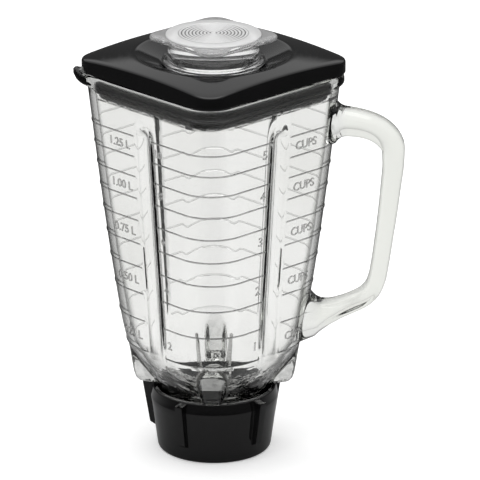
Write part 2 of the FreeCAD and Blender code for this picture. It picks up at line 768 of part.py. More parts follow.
# blade unit, from the neck down and then up the shaft
plate_low = S.cap_shoulder_top
ring("sealing_ring", S.ring_inner, S.ring_outer, plate_low + S.plate_thick,
     plate_low + S.plate_thick + S.ring_thick)
make_bearing_plate()
ring("plate_washer", S.housing_radius, S.housing_flange, S.plate_top_level,
     S.plate_top_level + S.plate_washer_thick)
make_housing()
nut_low = S.plate_top_level - S.plate_thick - S.nut_thick
hexagon_ring("housing_nut", S.nut_across, S.housing_radius, nut_low, S.nut_thick)
bush_bore = S.shaft_radius + S.shaft_fit
ring("lower_bush", bush_bore, S.bush_radius, S.housing_bottom, S.housing_bottom + S.bush_length)
bush_top = S.housing_top - S.seal_thick
ring("upper_bush", bush_bore, S.bush_radius, bush_top - S.bush_length, bush_top)
ring("shaft_seal", S.shaft_radius + S.seal_fit, S.bush_radius, bush_top, S.housing_top)

# turning parts
make_shaft()
washer_top = S.housing_bottom - S.thrust_gap
ring("lower_thrust_washer", S.shaft_radius + S.shaft_fit, S.thrust_radius,
     washer_top - S.thrust_thick, washer_top)
clip_top = washer_top - S.thrust_thick
ring("retaining_clip", S.clip_groove, S.clip_radius, clip_top - S.clip_thick, clip_top)
ring("upper_thrust_washer", S.shaft_radius + S.shaft_fit, S.thrust_radius, S.housing_top + 0.4,
     S.shaft_shoulder)
make_drive_square()
blade_low = S.shaft_shoulder
make_blades("lower_blades", blade_low, S.lower_blade_reach, S.lower_blade_rise, S.lower_blade_width, 0.0)
spacer_low = blade_low + S.blade_thick
ring("blade_spacer", S.stud_radius + S.shaft_fit, S.spacer_radius, spacer_low, spacer_low + S.spacer_thick)
upper_low = spacer_low + S.spacer_thick
make_blades("upper_blades", upper_low, S.upper_blade_reach, S.upper_blade_rise, S.upper_blade_width,
            SIZES["upper_blade_turn"])
lock_low = upper_low + S.blade_thick
ring("lock_washer", S.stud_radius + S.shaft_fit, S.lock_washer_radius, lock_low,
     lock_low + S.lock_washer_thick)
make_cap_nut(lock_low + S.lock_washer_thick)

doc.recompute()

failed = [item.Label for item in doc.Objects if {"Invalid", "Error"} & set(item.State)]
if failed:
    raise RuntimeError("failed objects: " + ", ".join(failed))
os.makedirs("parts", exist_ok=True)
bodies = [item for item in doc.Objects if item.TypeId == "PartDesign::Body"]
for body in bodies:
    shape = body.Shape
    if shape.isNull() or not shape.isValid():
        raise RuntimeError("bad shape: " + body.Label)
    shape.exportStep(os.path.join("parts", body.Label + ".step"))
    box = shape.BoundBox
    print("%-22s solids %d volume %9.1f  z %7.2f %7.2f  reach %6.2f"
          % (body.Label, len(shape.Solids), shape.Volume, box.ZMin, box.ZMax, max(box.XMax, -box.XMin)))
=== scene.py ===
import math

import bmesh
import bpy
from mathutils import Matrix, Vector


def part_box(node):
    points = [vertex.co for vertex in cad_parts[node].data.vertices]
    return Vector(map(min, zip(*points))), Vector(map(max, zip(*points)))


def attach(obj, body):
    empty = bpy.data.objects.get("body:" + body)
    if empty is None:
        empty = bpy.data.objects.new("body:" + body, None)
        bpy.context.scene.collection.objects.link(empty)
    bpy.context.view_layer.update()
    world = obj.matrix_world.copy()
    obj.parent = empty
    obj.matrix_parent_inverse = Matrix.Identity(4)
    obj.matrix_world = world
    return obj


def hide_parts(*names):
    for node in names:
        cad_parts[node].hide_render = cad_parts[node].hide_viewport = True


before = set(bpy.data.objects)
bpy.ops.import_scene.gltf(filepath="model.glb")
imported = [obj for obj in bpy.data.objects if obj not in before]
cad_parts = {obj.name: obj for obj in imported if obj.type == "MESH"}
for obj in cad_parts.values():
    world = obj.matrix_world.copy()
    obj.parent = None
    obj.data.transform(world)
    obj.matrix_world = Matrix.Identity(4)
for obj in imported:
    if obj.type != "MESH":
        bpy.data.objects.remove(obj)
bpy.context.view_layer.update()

# The glass jar assembly of a countertop blender. Lengths here are in millimetres until a point is
# placed, because the glass was drawn that way; MM turns them into Blender's metres.
MM = 0.001


# ---------------------------------------------------------------- modelling helpers

def deselect():
    if bpy.context.mode != "OBJECT":
        bpy.ops.object.mode_set(mode="OBJECT")
    bpy.ops.object.select_all(action="DESELECT")


def pick(piece):
    deselect()
    piece.select_set(True)
    bpy.context.view_layer.objects.active = piece


def put(mesh, ring):
    """Moves the ring of points that was extruded last onto its new place."""
    mesh.verts.ensure_lookup_table()
    for vertex, point in zip(mesh.verts[-len(ring):], ring):
        vertex.co = Vector(point) * MM


def draw(name, rings):
    """Draws a closed skin through rings of points: a circle is laid on the first and extruded onto each
    next one. Where the last ring lies on the first they join, and any other end gets a face across it.
    """
    deselect()
    bpy.ops.mesh.primitive_circle_add(vertices=len(rings[0]), radius=MM, fill_type="NOTHING")
    piece = bpy.context.object
    piece.name = piece.data.name = name
    bpy.ops.object.mode_set(mode="EDIT")
    put(bmesh.from_edit_mesh(piece.data), rings[0])
    for ring in rings[1:]:
        bpy.ops.mesh.extrude_region_move()
        put(bmesh.from_edit_mesh(piece.data), ring)
    bpy.ops.mesh.select_all(action="SELECT")
    bpy.ops.mesh.remove_doubles(threshold=0.002 * MM)
    bpy.ops.mesh.fill_holes(sides=0)
    bpy.ops.mesh.select_all(action="SELECT")
    bpy.ops.mesh.normals_make_consistent(inside=False)
    bpy.ops.object.mode_set(mode="OBJECT")
    return piece


def finish_piece(piece, body, slot, material, *nodes, sharp=35.0):
    """Smooths a piece, gives it its material and sets it on its body in place of CAD nodes."""
    pick(piece)
    bpy.ops.object.shade_smooth_by_angle(angle=math.radians(sharp))
    piece.data.materials.clear()
    piece.data.materials.append(material)
    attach(piece, body)
    if nodes:
        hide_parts(*nodes)
    return piece


def combine(piece, other, operation):
    """Cuts another closed piece out of this one, or joins it in with no walls left inside."""
    pick(piece)
    modifier = piece.modifiers.new("combine", "BOOLEAN")
    modifier.operation = operation
    modifier.solver = "EXACT"
    modifier.object = other
    bpy.ops.object.modifier_apply(modifier=modifier.name)
    bpy.data.objects.remove(other)
    return piece


def smoothstep(low, high, value):
    share = min(1.0, max(0.0, (value - low) / (high - low)))
    return share * share * (3.0 - 2.0 * share)


def curve_through(points, place):
    """A smooth height between given points, each (place, value), with no overshoot."""
    points = sorted(points)
    if place <= points[0][0]:
        return points[0][1]
    if place >= points[-1][0]:
        return points[-1][1]
    index = max(i for i, point in enumerate(points) if point[0] <= place)
    slopes = [(b[1] - a[1]) / (b[0] - a[0]) for a, b in zip(points, points[1:])]

    def lean(i):
        if i == 0 or i == len(points) - 1:
            return slopes[min(i, len(slopes) - 1)]
        before, after = slopes[i - 1], slopes[i]
        if before * after <= 0:
            return 0.0
        return 2.0 * before * after / (before + after)

    (a, low), (b, high) = points[index], points[index + 1]
    span = b - a
    t = (place - a) / span
    return (low * (2 * t ** 3 - 3 * t ** 2 + 1) + high * (3 * t ** 2 - 2 * t ** 3)
            + lean(index) * span * (t ** 3 - 2 * t ** 2 + t) + lean(index + 1) * span * (t ** 3 - t ** 2))


# ---------------------------------------------------------------- materials

# the jar's vertex attributes: painted shade on raised or thick glass, and the handle
SHADE_ATTRIBUTE, GRIP = "bead", "grip"


def grey(value):
    return (value, value, value)


class Tone:
    """A number that changes over a surface; arithmetic on it adds Math nodes."""

    def __init__(self, finish, socket):
        self.finish = finish
        self.socket = socket

    def math(self, operation, *others):
        node = self.finish.node("ShaderNodeMath", {"operation": operation})
        for place, value in enumerate((self,) + others):
            self.finish.feed(node.inputs[place], value)
        return Tone(self.finish, node.outputs[0])

    def __add__(self, other):
        return self.math("ADD", other)

    __radd__ = __add__

    def __mul__(self, other):
        return self.math("MULTIPLY", other)

    __rmul__ = __mul__

    def __sub__(self, other):
        return self.math("SUBTRACT", other)

    def __rsub__(self, other):
        return self.math("MULTIPLY_ADD", -1.0, other)

    def between(self, low, high):
        """0 below low and 1 above high, smoothly."""
        node = self.finish.node("ShaderNodeMapRange", {"interpolation_type": "SMOOTHSTEP"})
        self.finish.feed(node.inputs["Value"], self)
        node.inputs["From Min"].default_value = low
        node.inputs["From Max"].default_value = high
        return Tone(self.finish, node.outputs["Result"])


class Finish:
    """One material, built from a Principled shader whose constant values sit on its own sockets."""

    def __init__(self, name, color, roughness, **constants):
        self.material = bpy.data.materials.new(name)
        self.material.use_nodes = True
        self.tree = self.material.node_tree
        self.shader = self.tree.nodes["Principled BSDF"]
        self.shader.inputs["Base Color"].default_value = (*color, 1.0)
        self.shader.inputs["Roughness"].default_value = roughness
        for socket, value in constants.items():
            self.shader.inputs[socket.replace("_", " ")].default_value = value
        self.place = self.node("ShaderNodeTexCoord", {}).outputs["Object"]

    def node(self, kind, settings, **values):
        node = self.tree.nodes.new(kind)
        for setting, value in settings.items():
            setattr(node, setting, value)
        for socket, value in values.items():
            self.feed(node.inputs[socket.replace("_", " ")], value)
        return node

    def feed(self, socket, value):
        if isinstance(value, Tone):
            value = value.socket
        if isinstance(value, bpy.types.NodeSocket):
            self.tree.links.new(value, socket)
        else:
            socket.default_value = value

    def stretched(self, x, y, z):
        """The piece's own coordinates, stretched along its axes."""
        return self.node("ShaderNodeMapping", {}, Vector=self.place, Scale=(x, y, z)).outputs[0]

    def noise(self, scale, detail=3.0, roughness=0.5, place=None):
        node = self.node("ShaderNodeTexNoise", {}, Vector=place or self.place, Scale=scale,
                         Detail=detail, Roughness=roughness)
        return Tone(self, node.outputs[0])

    def axis(self, letter):
        node = self.node("ShaderNodeSeparateXYZ", {}, Vector=self.place)
        return Tone(self, node.outputs[letter])

    def facing(self):
        """0 where the surface is met square on and 1 where it is met at a graze."""
        return Tone(self, self.node("ShaderNodeLayerWeight", {}, Blend=0.5).outputs["Facing"])

    def absorb(self, color, density):
        """Takes light away through the thickness of a clear piece."""
        node = self.node("ShaderNodeVolumeAbsorption", {}, Color=(*color, 1.0), Density=density)
        output = self.tree.nodes["Material Output"]
        self.tree.links.new(node.outputs["Volume"], output.inputs["Volume"])

    def lay_over(self, share, color, roughness):
        """Lays an opaque finish over a share of the surface."""
        over = self.node("ShaderNodeBsdfPrincipled", {}, Base_Color=color, Roughness=roughness)
        mix = self.node("ShaderNodeMixShader", {})
        self.feed(mix.inputs[0], share)
        self.feed(mix.inputs[1], self.shader.outputs[0])
        self.feed(mix.inputs[2], over.outputs[0])
        self.feed(self.tree.nodes["Material Output"].inputs["Surface"], mix.outputs[0])

    def radius(self):
        """Distance from the jar's axis, in metres."""
        x, y = self.axis("X"), self.axis("Y")
        return (x * x + y * y).math("SQRT")

    def blend(self, share, first, second):
        node = self.node("ShaderNodeMix", {"data_type": "RGBA"})
        self.feed(node.inputs["Factor"], share)
        self.feed(node.inputs[6], (*first, 1.0) if isinstance(first, tuple) else first)
        self.feed(node.inputs[7], (*second, 1.0) if isinstance(second, tuple) else second)
        return node.outputs[2]

    def color(self, value):
        self.feed(self.shader.inputs["Base Color"], value)

    def rough(self, value):
        self.feed(self.shader.inputs["Roughness"], value)

    def bump(self, height, distance, strength=1.0):
        node = self.node("ShaderNodeBump", {}, Height=height, Distance=distance, Strength=strength)
        self.feed(self.shader.inputs["Normal"], node.outputs["Normal"])
        return self


def pressed_glass(name, light, dull):
    """Pressed glass, with painted shade along raised beads, on its thick rim, corners and feet, and at its
    turning edges.
    """
    f = Finish(name, grey(light), 0.0, Transmission_Weight=1.0, IOR=1.5)
    draw_marks = f.noise(26.0, 2.0, 0.45, f.stretched(1.0, 1.0, 0.35))
    ripple = f.noise(90.0, 2.0, 0.4)
    thin = f.noise(14.0, 1.0)
    bowl = 1.0 - f.axis("Z").between(0.055, 0.066)
    body = f.blend(thin.between(0.35, 0.7), (light, light, light * 0.995), (dull, dull, dull * 0.99))
    bead = Tone(f, f.node("ShaderNodeAttribute", {"attribute_name": SHADE_ATTRIBUTE}).outputs["Fac"])
    grip = Tone(f, f.node("ShaderNodeAttribute", {"attribute_name": GRIP}).outputs["Fac"])
    mottled_shade = f.noise(170.0, 2.0).between(0.4, 0.6) * bowl * bead
    body = f.blend(grip, body, (0.955, 0.96, 0.93))
    # painted shade: grey along the measuring lines, rim, corners and feet, mottled low in the bowl
    body = f.blend((bead * 0.9 + mottled_shade * 0.9).math("MINIMUM", 0.95), body, grey(0.16))
    # painted shade at the edges where the glass is met at a graze, less on the handle
    f.color(f.blend(f.facing().between(0.36, 0.8) * (1.0 - grip * 0.75), body, grey(0.04)))
    f.rough(f.noise(300.0, 2.0) * 0.012)
    f.absorb((0.80, 0.81, 0.785), 36.0)
    hammered = f.noise(130.0, 2.0, 0.5) * bowl
    return f.bump(draw_marks + ripple * 0.25 + hammered * 5.0, 0.0005, 0.25).material


def clear_plastic():
    f = Finish("clear_plastic", grey(0.97), 0.02, Transmission_Weight=1.0, IOR=1.46)
    scuff = f.noise(420.0, 4.0, 0.6, f.stretched(1.0, 1.0, 0.2))
    body = f.blend(f.noise(30.0, 2.0), grey(0.985), grey(0.955))
    # painted shade at the edges where the plastic is met at a graze
    f.color(f.blend(f.facing().between(0.5, 0.97), body, grey(0.22)))
    f.rough(scuff.between(0.55, 0.8) * 0.05 + 0.01)
    f.absorb(grey(0.80), 30.0)
    wave = (f.radius() * (2.0 * math.pi / (RING_PITCH * MM))).math("COSINE")
    valley_shade = wave.between(0.1, 0.8) * (1.0 - f.radius().between(0.0205, 0.0215))
    disc = f.axis("Z").between(PLATE_HIGH * MM, (PLATE_HIGH + 0.4) * MM)
    ears = f.axis("Z").between((PLATE_LOW - 0.3) * MM, (PLATE_LOW + 0.3) * MM)
    # painted shade in the valleys between the turned rings, over the opaque white frosting of the disc
    frost_and_valley_shade = f.blend(valley_shade, grey(0.92), grey(0.10))
    f.lay_over(disc * (valley_shade * 0.22 + 0.36) + ears * 0.24, frost_and_valley_shade, 0.35)
    return f.bump(f.noise(60.0, 2.0), 0.0003, 0.3).material


def gloss_black():
    f = Finish("gloss_black", grey(0.003), 0.1, IOR=1.45)
    moulding = f.noise(45.0, 3.0)
    wipe = f.noise(500.0, 3.0, 0.6, f.stretched(1.0, 0.12, 1.0))
    f.color(f.blend(moulding, (0.0022, 0.0022, 0.0024), (0.0045, 0.0045, 0.0048)))
    f.rough(wipe.between(0.45, 0.75) * 0.04 + moulding * 0.03 + 0.05)
    return f.bump(moulding + f.noise(700.0, 2.0) * 0.02, 0.0004, 0.08).material


def seal_rubber():
    f = Finish("seal_rubber", grey(0.008), 0.5, Specular_IOR_Level=0.2)
    grain = f.noise(900.0, 4.0, 0.6)
    bloom = f.noise(60.0, 3.0)
    f.color(f.blend(bloom.between(0.4, 0.8), grey(0.0025), grey(0.006)))
    f.rough(grain * 0.2 + 0.30)
    return f.bump(grain, 0.0002, 0.4).material


def brushed_steel(name, x, y, z, dark=0.0):
    """Stainless steel with a fine grain stretched along one axis."""
    f = Finish(name, (0.58, 0.58, 0.57), 0.25, Metallic=1.0)
    grain = f.noise(1200.0, 4.0, 0.65, f.stretched(x, y, z))
    stain = f.noise(70.0, 3.0)
    bright, dull = 0.66 - dark, 0.50 - dark
    f.color(f.blend(stain * 0.5 + grain * 0.5, (bright, bright, bright * 0.99), (dull, dull, dull * 0.97)))
    f.rough(grain * 0.2 + stain * 0.08 + 0.13)
    return f.bump(grain, 0.0001, 0.4).material


def turned_steel():
    """Steel with the fine rings that a lathe leaves."""
    f = Finish("turned_steel", (0.55, 0.55, 0.54), 0.25, Metallic=1.0)
    rings = ((f.radius() + f.axis("Z") * 0.7) * 9000.0).math("SINE")
    stain = f.noise(120.0, 3.0)
    f.color(f.blend(stain, (0.62, 0.62, 0.61), (0.47, 0.47, 0.46)))
    f.rough(rings * 0.04 + stain * 0.15 + 0.18)
    return f.bump(rings, 0.00002, 0.5).material


def sintered_bronze():
    f = Finish("sintered_bronze", (0.42, 0.27, 0.12), 0.45, Metallic=1.0)
    pores = f.noise(2600.0, 2.0, 0.7)
    f.color(f.blend(pores.between(0.4, 0.6), (0.24, 0.14, 0.06), (0.50, 0.33, 0.16)))
    f.rough(pores * 0.25 + 0.3)
    return f.bump(pores, 0.0001, 0.6).material


def natural_nylon():
    f = Finish("natural_nylon", (0.78, 0.75, 0.66), 0.45)
    haze = f.noise(160.0, 3.0)
    f.color(f.blend(haze, (0.80, 0.77, 0.68), (0.70, 0.67, 0.58)))
    f.rough(haze * 0.2 + 0.35)
    return f.bump(f.noise(1500.0, 2.0), 0.00005, 0.5).material


def pale_floor():
    """A white sheet; in gloss it is painted darker and darker away from the jar, a painted shade like the
    dark beyond a lit table's edge.
    """
    f = Finish("pale_floor", grey(0.93), 0.6, Emission_Strength=0.3)
    seen = f.node("ShaderNodeLightPath", {}).outputs
    through_glass = Tone(f, seen["Is Transmission Ray"])
    mirrored = Tone(f, seen["Glossy Depth"]).math("MINIMUM", 1.0) * (1.0 - through_glass * 0.6)
    # painted shade: what gloss mirrors of the floor goes dark away from the jar
    shade_seen_in_gloss = f.blend(f.radius().between(0.08, 0.40), grey(0.40), grey(0.03))
    sheet = f.blend(f.noise(2.0, 2.0), grey(0.925), grey(0.935))
    f.color(f.blend(mirrored, sheet, shade_seen_in_gloss))
    glow = f.blend(seen["Is Camera Ray"], grey(0.0), grey(1.0))
    f.feed(f.shader.inputs["Emission Color"], glow)
    return f.material


# the filler cap's plate and the turned rings on it, which its material follows
PLATE_LOW, PLATE_HIGH = 257.5, 260.5
RING_PITCH = 2.1

GLASS = pressed_glass("pressed_glass", 0.975, 0.935)
# painted shade: the lettering is the same clear glass, made greyer
LETTERING = pressed_glass("pressed_lettering", 0.66, 0.60)
PLASTIC = clear_plastic()
BLACK = gloss_black()
RUBBER = seal_rubber()
BLADE_STEEL = brushed_steel("blade_steel", 1.0, 0.06, 1.0)
SHEET_STEEL = brushed_steel("sheet_steel", 0.1, 1.0, 1.0, 0.04)
TURNED = turned_steel()
BRONZE = sintered_bronze()
NYLON = natural_nylon()


# ---------------------------------------------------------------- the square glass jar

JAR_TOP = 237.5
WALL = 4.0
NECK_END = 15.0
NECK_RADIUS = 33.2
NECK_BORE = 30.4
# half width across the flats and across the corners, by height
FLATS = ((42.0, 33.9), (56.0, 41.6), (63.0, 45.2), (70.0, 47.2), (110.0, 50.2), (160.0, 53.9),
         (229.0, 58.7))
CORNERS = ((42.0, 34.3), (56.0, 44.3), (63.0, 49.4), (70.0, 53.0), (110.0, 60.1), (160.0, 66.9),
           (229.0, 74.8))
FLUTE_BOTTOM, FLUTE_TOP, FLUTE_RUNOUT = 68.0, 214.0, 14.0
FLUTE_HALF, FLUTE_DEPTH = 5.6, 3.0
LINE_LEVELS = (69.8, 89.6, 107.2, 124.4, 139.6, 154.6, 168.8, 182.6, 195.3, 208.4)
LINE_RISE = 0.4
# a measuring line's section: distance from its middle, and share of its rise
LINE_SECTION = ((-0.55, 0.0), (-0.35, 0.85), (0.0, 1.0), (0.35, 0.85), (0.55, 0.0))
THREAD_PITCH, THREAD_TURNS, THREAD_WIDTH = 6.0, 1.6, 2.2
NECK_THREAD_START = 19.0


def sweep_angles():
    """Angles round the jar in degrees, closer together at the flutes in the middle of each flat."""
    near_flute = [0.9 * i for i in range(13)]
    to_corner = [10.8 + (45.0 - 10.8) * i / 23 for i in range(1, 24)]
    half = near_flute + to_corner
    quarter = [45.0 - angle for angle in reversed(half)] + [45.0 + angle for angle in half[1:-1]]
    return [90.0 * side + angle for side in range(4) for angle in quarter]


ANGLES = sweep_angles()


def square_radius(angle, flat, corner):
    """Radius of a rounded square at an angle, its corners on the axes.

    flat is half the width across the flats and corner half the width across the corners.
    """
    bend = (flat * math.sqrt(2.0) - corner) / (math.sqrt(2.0) - 1.0)
    centre = (flat - bend) * math.sqrt(2.0)
    off = math.radians((angle + 45.0) % 90.0 - 45.0)
    turn = math.atan2(bend * math.sin(math.pi / 4), centre + bend * math.cos(math.pi / 4))
    if abs(off) < turn:
        return centre * math.cos(off) + math.sqrt(bend ** 2 - (centre * math.sin(off)) ** 2)
    return flat / math.cos(math.pi / 4 - abs(off))


def from_mid_flat(angle, radius):
    """Distance from the middle of the nearest flat, measured along it."""
    return radius * math.sin(math.radians(abs((angle % 90.0) - 45.0)))


def from_corner(angle, radius):
    return radius * math.sin(math.radians(abs((angle + 45.0) % 90.0 - 45.0)))


def flute(angle, radius, level):
    """How deep the flute is at a place on the outside."""
    across = from_mid_flat(angle, radius) / FLUTE_HALF
    top = max(0.0, level - (FLUTE_TOP - FLUTE_HALF)) / FLUTE_HALF
    bottom = 1.0 - smoothstep(FLUTE_BOTTOM, FLUTE_BOTTOM + FLUTE_RUNOUT, level)
    reach = math.hypot(across, top)
    if reach >= 1.12 or level < FLUTE_BOTTOM - 1.0:
        return 0.0
    groove = max(0.0, 1.0 - reach ** 2) ** 0.9
    return FLUTE_DEPTH * groove * (1.0 - bottom * 0.85)


def glass_outside(angle, level):
    """Outer radius of the plain glass wall."""
    return square_radius(angle, curve_through(FLATS, level), curve_through(CORNERS, level))


def outside_point(angle, level, rise=0.0):
    radius = glass_outside(angle, level)
    radius += rise - flute(angle, radius, level)
    return on_circle(angle, radius, level)


def on_circle(angle, radius, level):
    return (radius * math.cos(math.radians(angle)), radius * math.sin(math.radians(angle)), level)


def inside_point(angle, level):
    flat, corner = curve_through(FLATS, level) - WALL, curve_through(CORNERS, level) - WALL
    radius = square_radius(angle, flat, corner)
    ridge = 1.0 - smoothstep(2.0, 9.0, from_mid_flat(angle, radius))
    along = smoothstep(FLUTE_BOTTOM, FLUTE_BOTTOM + FLUTE_RUNOUT, level)
    along *= 1.0 - smoothstep(206.0, 220.0, level)
    return on_circle(angle, radius - 2.0 * ridge * along, level)


def wall_levels():
    """Every level of the outside wall, with how far a measuring line stands up there."""
    marked = [(line + drop, share * LINE_RISE) for line in LINE_LEVELS for drop, share in LINE_SECTION]
    plain = [66.0 + 4.0 * i for i in range(41)] + [207.0, 209.5, 211.0, 212.5, 214.0, 215.5, 217.0]
    kept = [(level, 0.0) for level in plain
            if all(abs(level - line) > 1.4 for line in LINE_LEVELS)]
    return sorted(marked + kept)


# the feet: where across them is measured, how far their fronts bow back at the sides, their inner
# edge, the level of the bowl between them, and their reach by height
LUG_RADIUS, LUG_BOW = 46.0, 0.05
LUG_INSIDE, BOWL_FLOOR = 39.5, 42.0
LUG_REACH = ((41.9, 44.6), (42.6, 46.4), (44.0, 47.8), (47.0, 48.8), (54.0, 50.0), (61.9, 51.2), (68.0, 52.4))


def lug_share(angle):
    """1 where one of the four glass feet stands at a corner, 0 between them."""
    return 1.0 - smoothstep(4.6, 9.6, from_corner(angle, LUG_RADIUS))


def lug_front(angle, level):
    """Radius of the front of a foot, which bows back at its sides."""
    return curve_through(LUG_REACH, level) - LUG_BOW * from_corner(angle, LUG_RADIUS) ** 2


def foot_ring(level):
    """The bowl, with the feet standing out from it at the corners."""
    ring = []
    for angle in ANGLES:
        radius = glass_outside(angle, level)
        front = max(lug_front(angle, level), radius)
        ring.append(on_circle(angle, radius + (front - radius) * lug_share(angle), level))
    return ring


def thread_rise(angle, level, start):
    """How high a right-hand screw thread stands at a place, as a share of its full rise."""
    rise = 0.0
    for turn in range(-1, 3):
        travelled = angle / 360.0 + turn
        centre = start + THREAD_WIDTH / 2 + THREAD_PITCH * travelled
        fade = smoothstep(0.0, 0.06, travelled)
        fade *= 1.0 - smoothstep(THREAD_TURNS - 0.06, THREAD_TURNS, travelled)
        rise = max(rise, fade * (1.0 - smoothstep(0.5, 1.1, abs(level - centre))))
    return rise


def thread_ring(level):
    """The neck, with its screw thread where it passes this level."""
    return [on_circle(angle, NECK_RADIUS + thread_rise(angle, level, NECK_THREAD_START), level)
            for angle in ANGLES]


# Rim of the glass from outside to inside: height, half widths across flats and across corners, and
# how far the pour lip pulls each outwards and upwards.
RIM = (
    (229.6, 58.75, 74.9, 0.2, 0.2),
    (230.6, 59.0, 76.0, 1.2, 0.4),
    (231.6, 59.5, 77.2, 2.9, 0.6),
    (232.8, 59.8, 77.7, 4.3, 1.4),
    (235.0, 59.8, 77.7, 5.6, 2.0),
    (236.6, 59.6, 77.4, 5.9, 2.6),
    (237.4, 59.0, 76.7, 5.4, 2.9),
    (237.5, 57.5, 74.9, 5.6, 2.4),
    (237.4, 56.2, 73.4, 5.5, 1.0),
    (236.8, 55.6, 72.4, 4.9, 0.3),
    (235.4, 55.2, 71.7, 3.6, -0.6),
    (233.0, 54.95, 71.2, 2.0, -0.6),
    (230.0, 54.75, 70.9, 0.8, -0.2),
)


LIP_HALF = 17.0


def rim_ring(level, flat, corner, lip_out, lip_up):
    ring = []
    for angle in ANGLES:
        radius = square_radius(angle, flat, corner)
        across = radius * math.radians(abs(angle % 360.0 - 180.0))
        share = math.cos(math.pi / 2 * min(1.0, across / LIP_HALF)) ** 2
        ring.append(on_circle(angle, radius + lip_out * share, level + lip_up * share ** 4))
    return ring


def lug_floor(inner):
    """The flat undersides of the feet, and the bowl's root between them."""
    root = NECK_RADIUS + 0.7
    ring = []
    for angle in ANGLES:
        share = lug_share(angle)
        radius, level = root + (LUG_INSIDE - root) * share, BOWL_FLOOR - 0.2 * share
        if not inner:
            front = lug_front(angle, LUG_REACH[0][0])
            radius, level = root + 0.2 + (front - root - 0.2) * share, BOWL_FLOOR - 0.1 * share
        ring.append(on_circle(angle, radius, level))
    return ring


def round_rings(steps, angles=ANGLES):
    """Circles about the jar's axis, at each (radius, level) step."""
    return [[on_circle(angle, radius, level) for angle in angles] for radius, level in steps]


def glass_body():
    lip = (NECK_RADIUS - 0.6, NECK_END)
    rings = round_rings((lip, (NECK_RADIUS, NECK_END + 0.5)))
    rings += [thread_ring(17.0 + 0.55 * i) for i in range(31)]
    rings += round_rings(((NECK_RADIUS, 37.0), (NECK_RADIUS, 41.0)))
    rings += [lug_floor(inner) for inner in (True, False)]
    rings += [foot_ring(level) for level in (42.6, 44.0, 47.0, 50.0, 53.0, 56.0, 59.0, 61.9, 64.0, 65.2)]
    rings += [[outside_point(angle, level, rise * raised(angle, level)) for angle in ANGLES]
              for level, rise in wall_levels()]
    rings += [[outside_point(angle, level) for angle in ANGLES] for level in (224.0, 228.0)]
    rings += [rim_ring(*step) for step in RIM]
    rings += [[inside_point(angle, level) for angle in ANGLES]
              for level in [226.0, 222.0, 218.0, 214.0, 210.0] + [204.0 - 6.0 * i for i in range(22)]
              + [74.0, 71.0, 68.0, 65.0, 62.0, 59.0, 56.0, 53.0, 50.0, 47.0, 44.5]]
    rings += round_rings((
        (NECK_BORE + 0.25, 42.4), (NECK_BORE, 41.0), (NECK_BORE, 32.0), (NECK_BORE, 22.0),
        (NECK_BORE, NECK_END + 0.5), (NECK_BORE + 0.6, NECK_END), lip))
    return draw("glass_jar_body", rings)


def raised(angle, level):
    """1 on the panels that carry the measuring lines, 0 at the flutes."""
    return smoothstep(7.6, 8.8, from_mid_flat(angle, glass_outside(angle, level)))


# Handle sections along its centre line from the upper root to the lower one:
# x, z, tilt in degrees, half thickness, half width.
HANDLE = (
    (71.0, 208.0, 90.0, 15.2, 12.2),
    (72.6, 207.9, 90.0, 13.2, 11.2),
    (74.6, 207.7, 90.5, 10.6, 10.3),
    (78.0, 207.5, 92.0, 8.7, 9.8),
    (84.0, 206.9, 95.0, 8.2, 9.6),
    (91.0, 205.4, 101.0, 7.9, 9.5),
    (98.0, 202.4, 117.0, 7.7, 9.5),
    (104.0, 197.2, 146.0, 7.5, 9.5),
    (107.2, 190.2, 172.0, 7.0, 9.5),
    (107.2, 181.0, 182.0, 6.5, 9.5),
    (106.0, 168.0, 186.0, 6.1, 9.4),
    (104.4, 152.0, 187.0, 5.8, 9.3),
    (102.2, 134.0, 188.0, 5.5, 9.3),
    (100.2, 119.0, 188.0, 5.4, 9.3),
    (98.4, 108.6, 195.0, 5.4, 9.3),
    (95.6, 101.6, 214.0, 5.4, 9.3),
    (90.6, 96.4, 234.0, 5.4, 9.3),
    (84.0, 92.8, 243.0, 5.4, 9.3),
    (77.0, 89.8, 247.0, 5.7, 9.4),
    (70.5, 87.3, 252.0, 6.8, 9.7),
    (64.5, 85.6, 260.0, 9.4, 10.2),
    (60.0, 85.0, 266.0, 13.4, 11.0),
    (57.0, 84.8, 270.0, 18.2, 12.0),
)


HANDLE_SIDES, HANDLE_POWER = 48, 0.72


def squared(value):
    """A cosine or sine, drawn out towards the corners of a square."""
    return math.copysign(abs(value) ** HANDLE_POWER, value)


def handle_ring(x, z, tilt, half_thick, half_width, into_wall):
    """A rounded oblong across the handle; at a root it is laid on the middle of the glass wall."""
    turn = math.radians(tilt)
    ring = []
    for i in range(HANDLE_SIDES):
        around = 2 * math.pi * i / HANDLE_SIDES
        across = half_thick * squared(math.cos(around))
        out = half_width * squared(math.sin(around))
        point = [x + across * math.cos(turn), out, z - across * math.sin(turn)]
        if into_wall:
            angle = math.degrees(math.atan2(point[1], point[0]))
            radius = glass_outside(angle, point[2]) - WALL / 2
            point[0] = math.sqrt(radius ** 2 - point[1] ** 2)
        ring.append(tuple(point))
    return ring


def handle_root(x, z, tilt, half_thick, half_width):
    """Rings that close a handle's end inside the glass wall, from its middle outwards."""
    return [handle_ring(x, z, tilt, half_thick * share, half_width * share, True)
            for share in (0.03, 0.3, 0.6, 0.85, 1.0)]


def handle_station(place):
    """The handle's section at a place between its listed ones, counted from the upper root."""
    return [curve_through([(number, station[field]) for number, station in enumerate(HANDLE)], place)
            for field in range(len(HANDLE[0]))]


def glass_handle():
    between = 3
    rings = handle_root(*HANDLE[0])
    rings += [handle_ring(*handle_station(step / between), False)
              for step in range(between, between * (len(HANDLE) - 2) + 1)]
    rings += reversed(handle_root(*HANDLE[-1]))
    return draw("glass_handle", rings)


# how much painted shade the glass gets where it is thick: corners, feet, rim
CORNER_SHADE, FOOT_SHADE, RIM_SHADE = 0.07, 0.3, 0.45
# the same lines on the two flats at the back get less painted shade than those in front
BACK_LINE_SHADE = 0.4


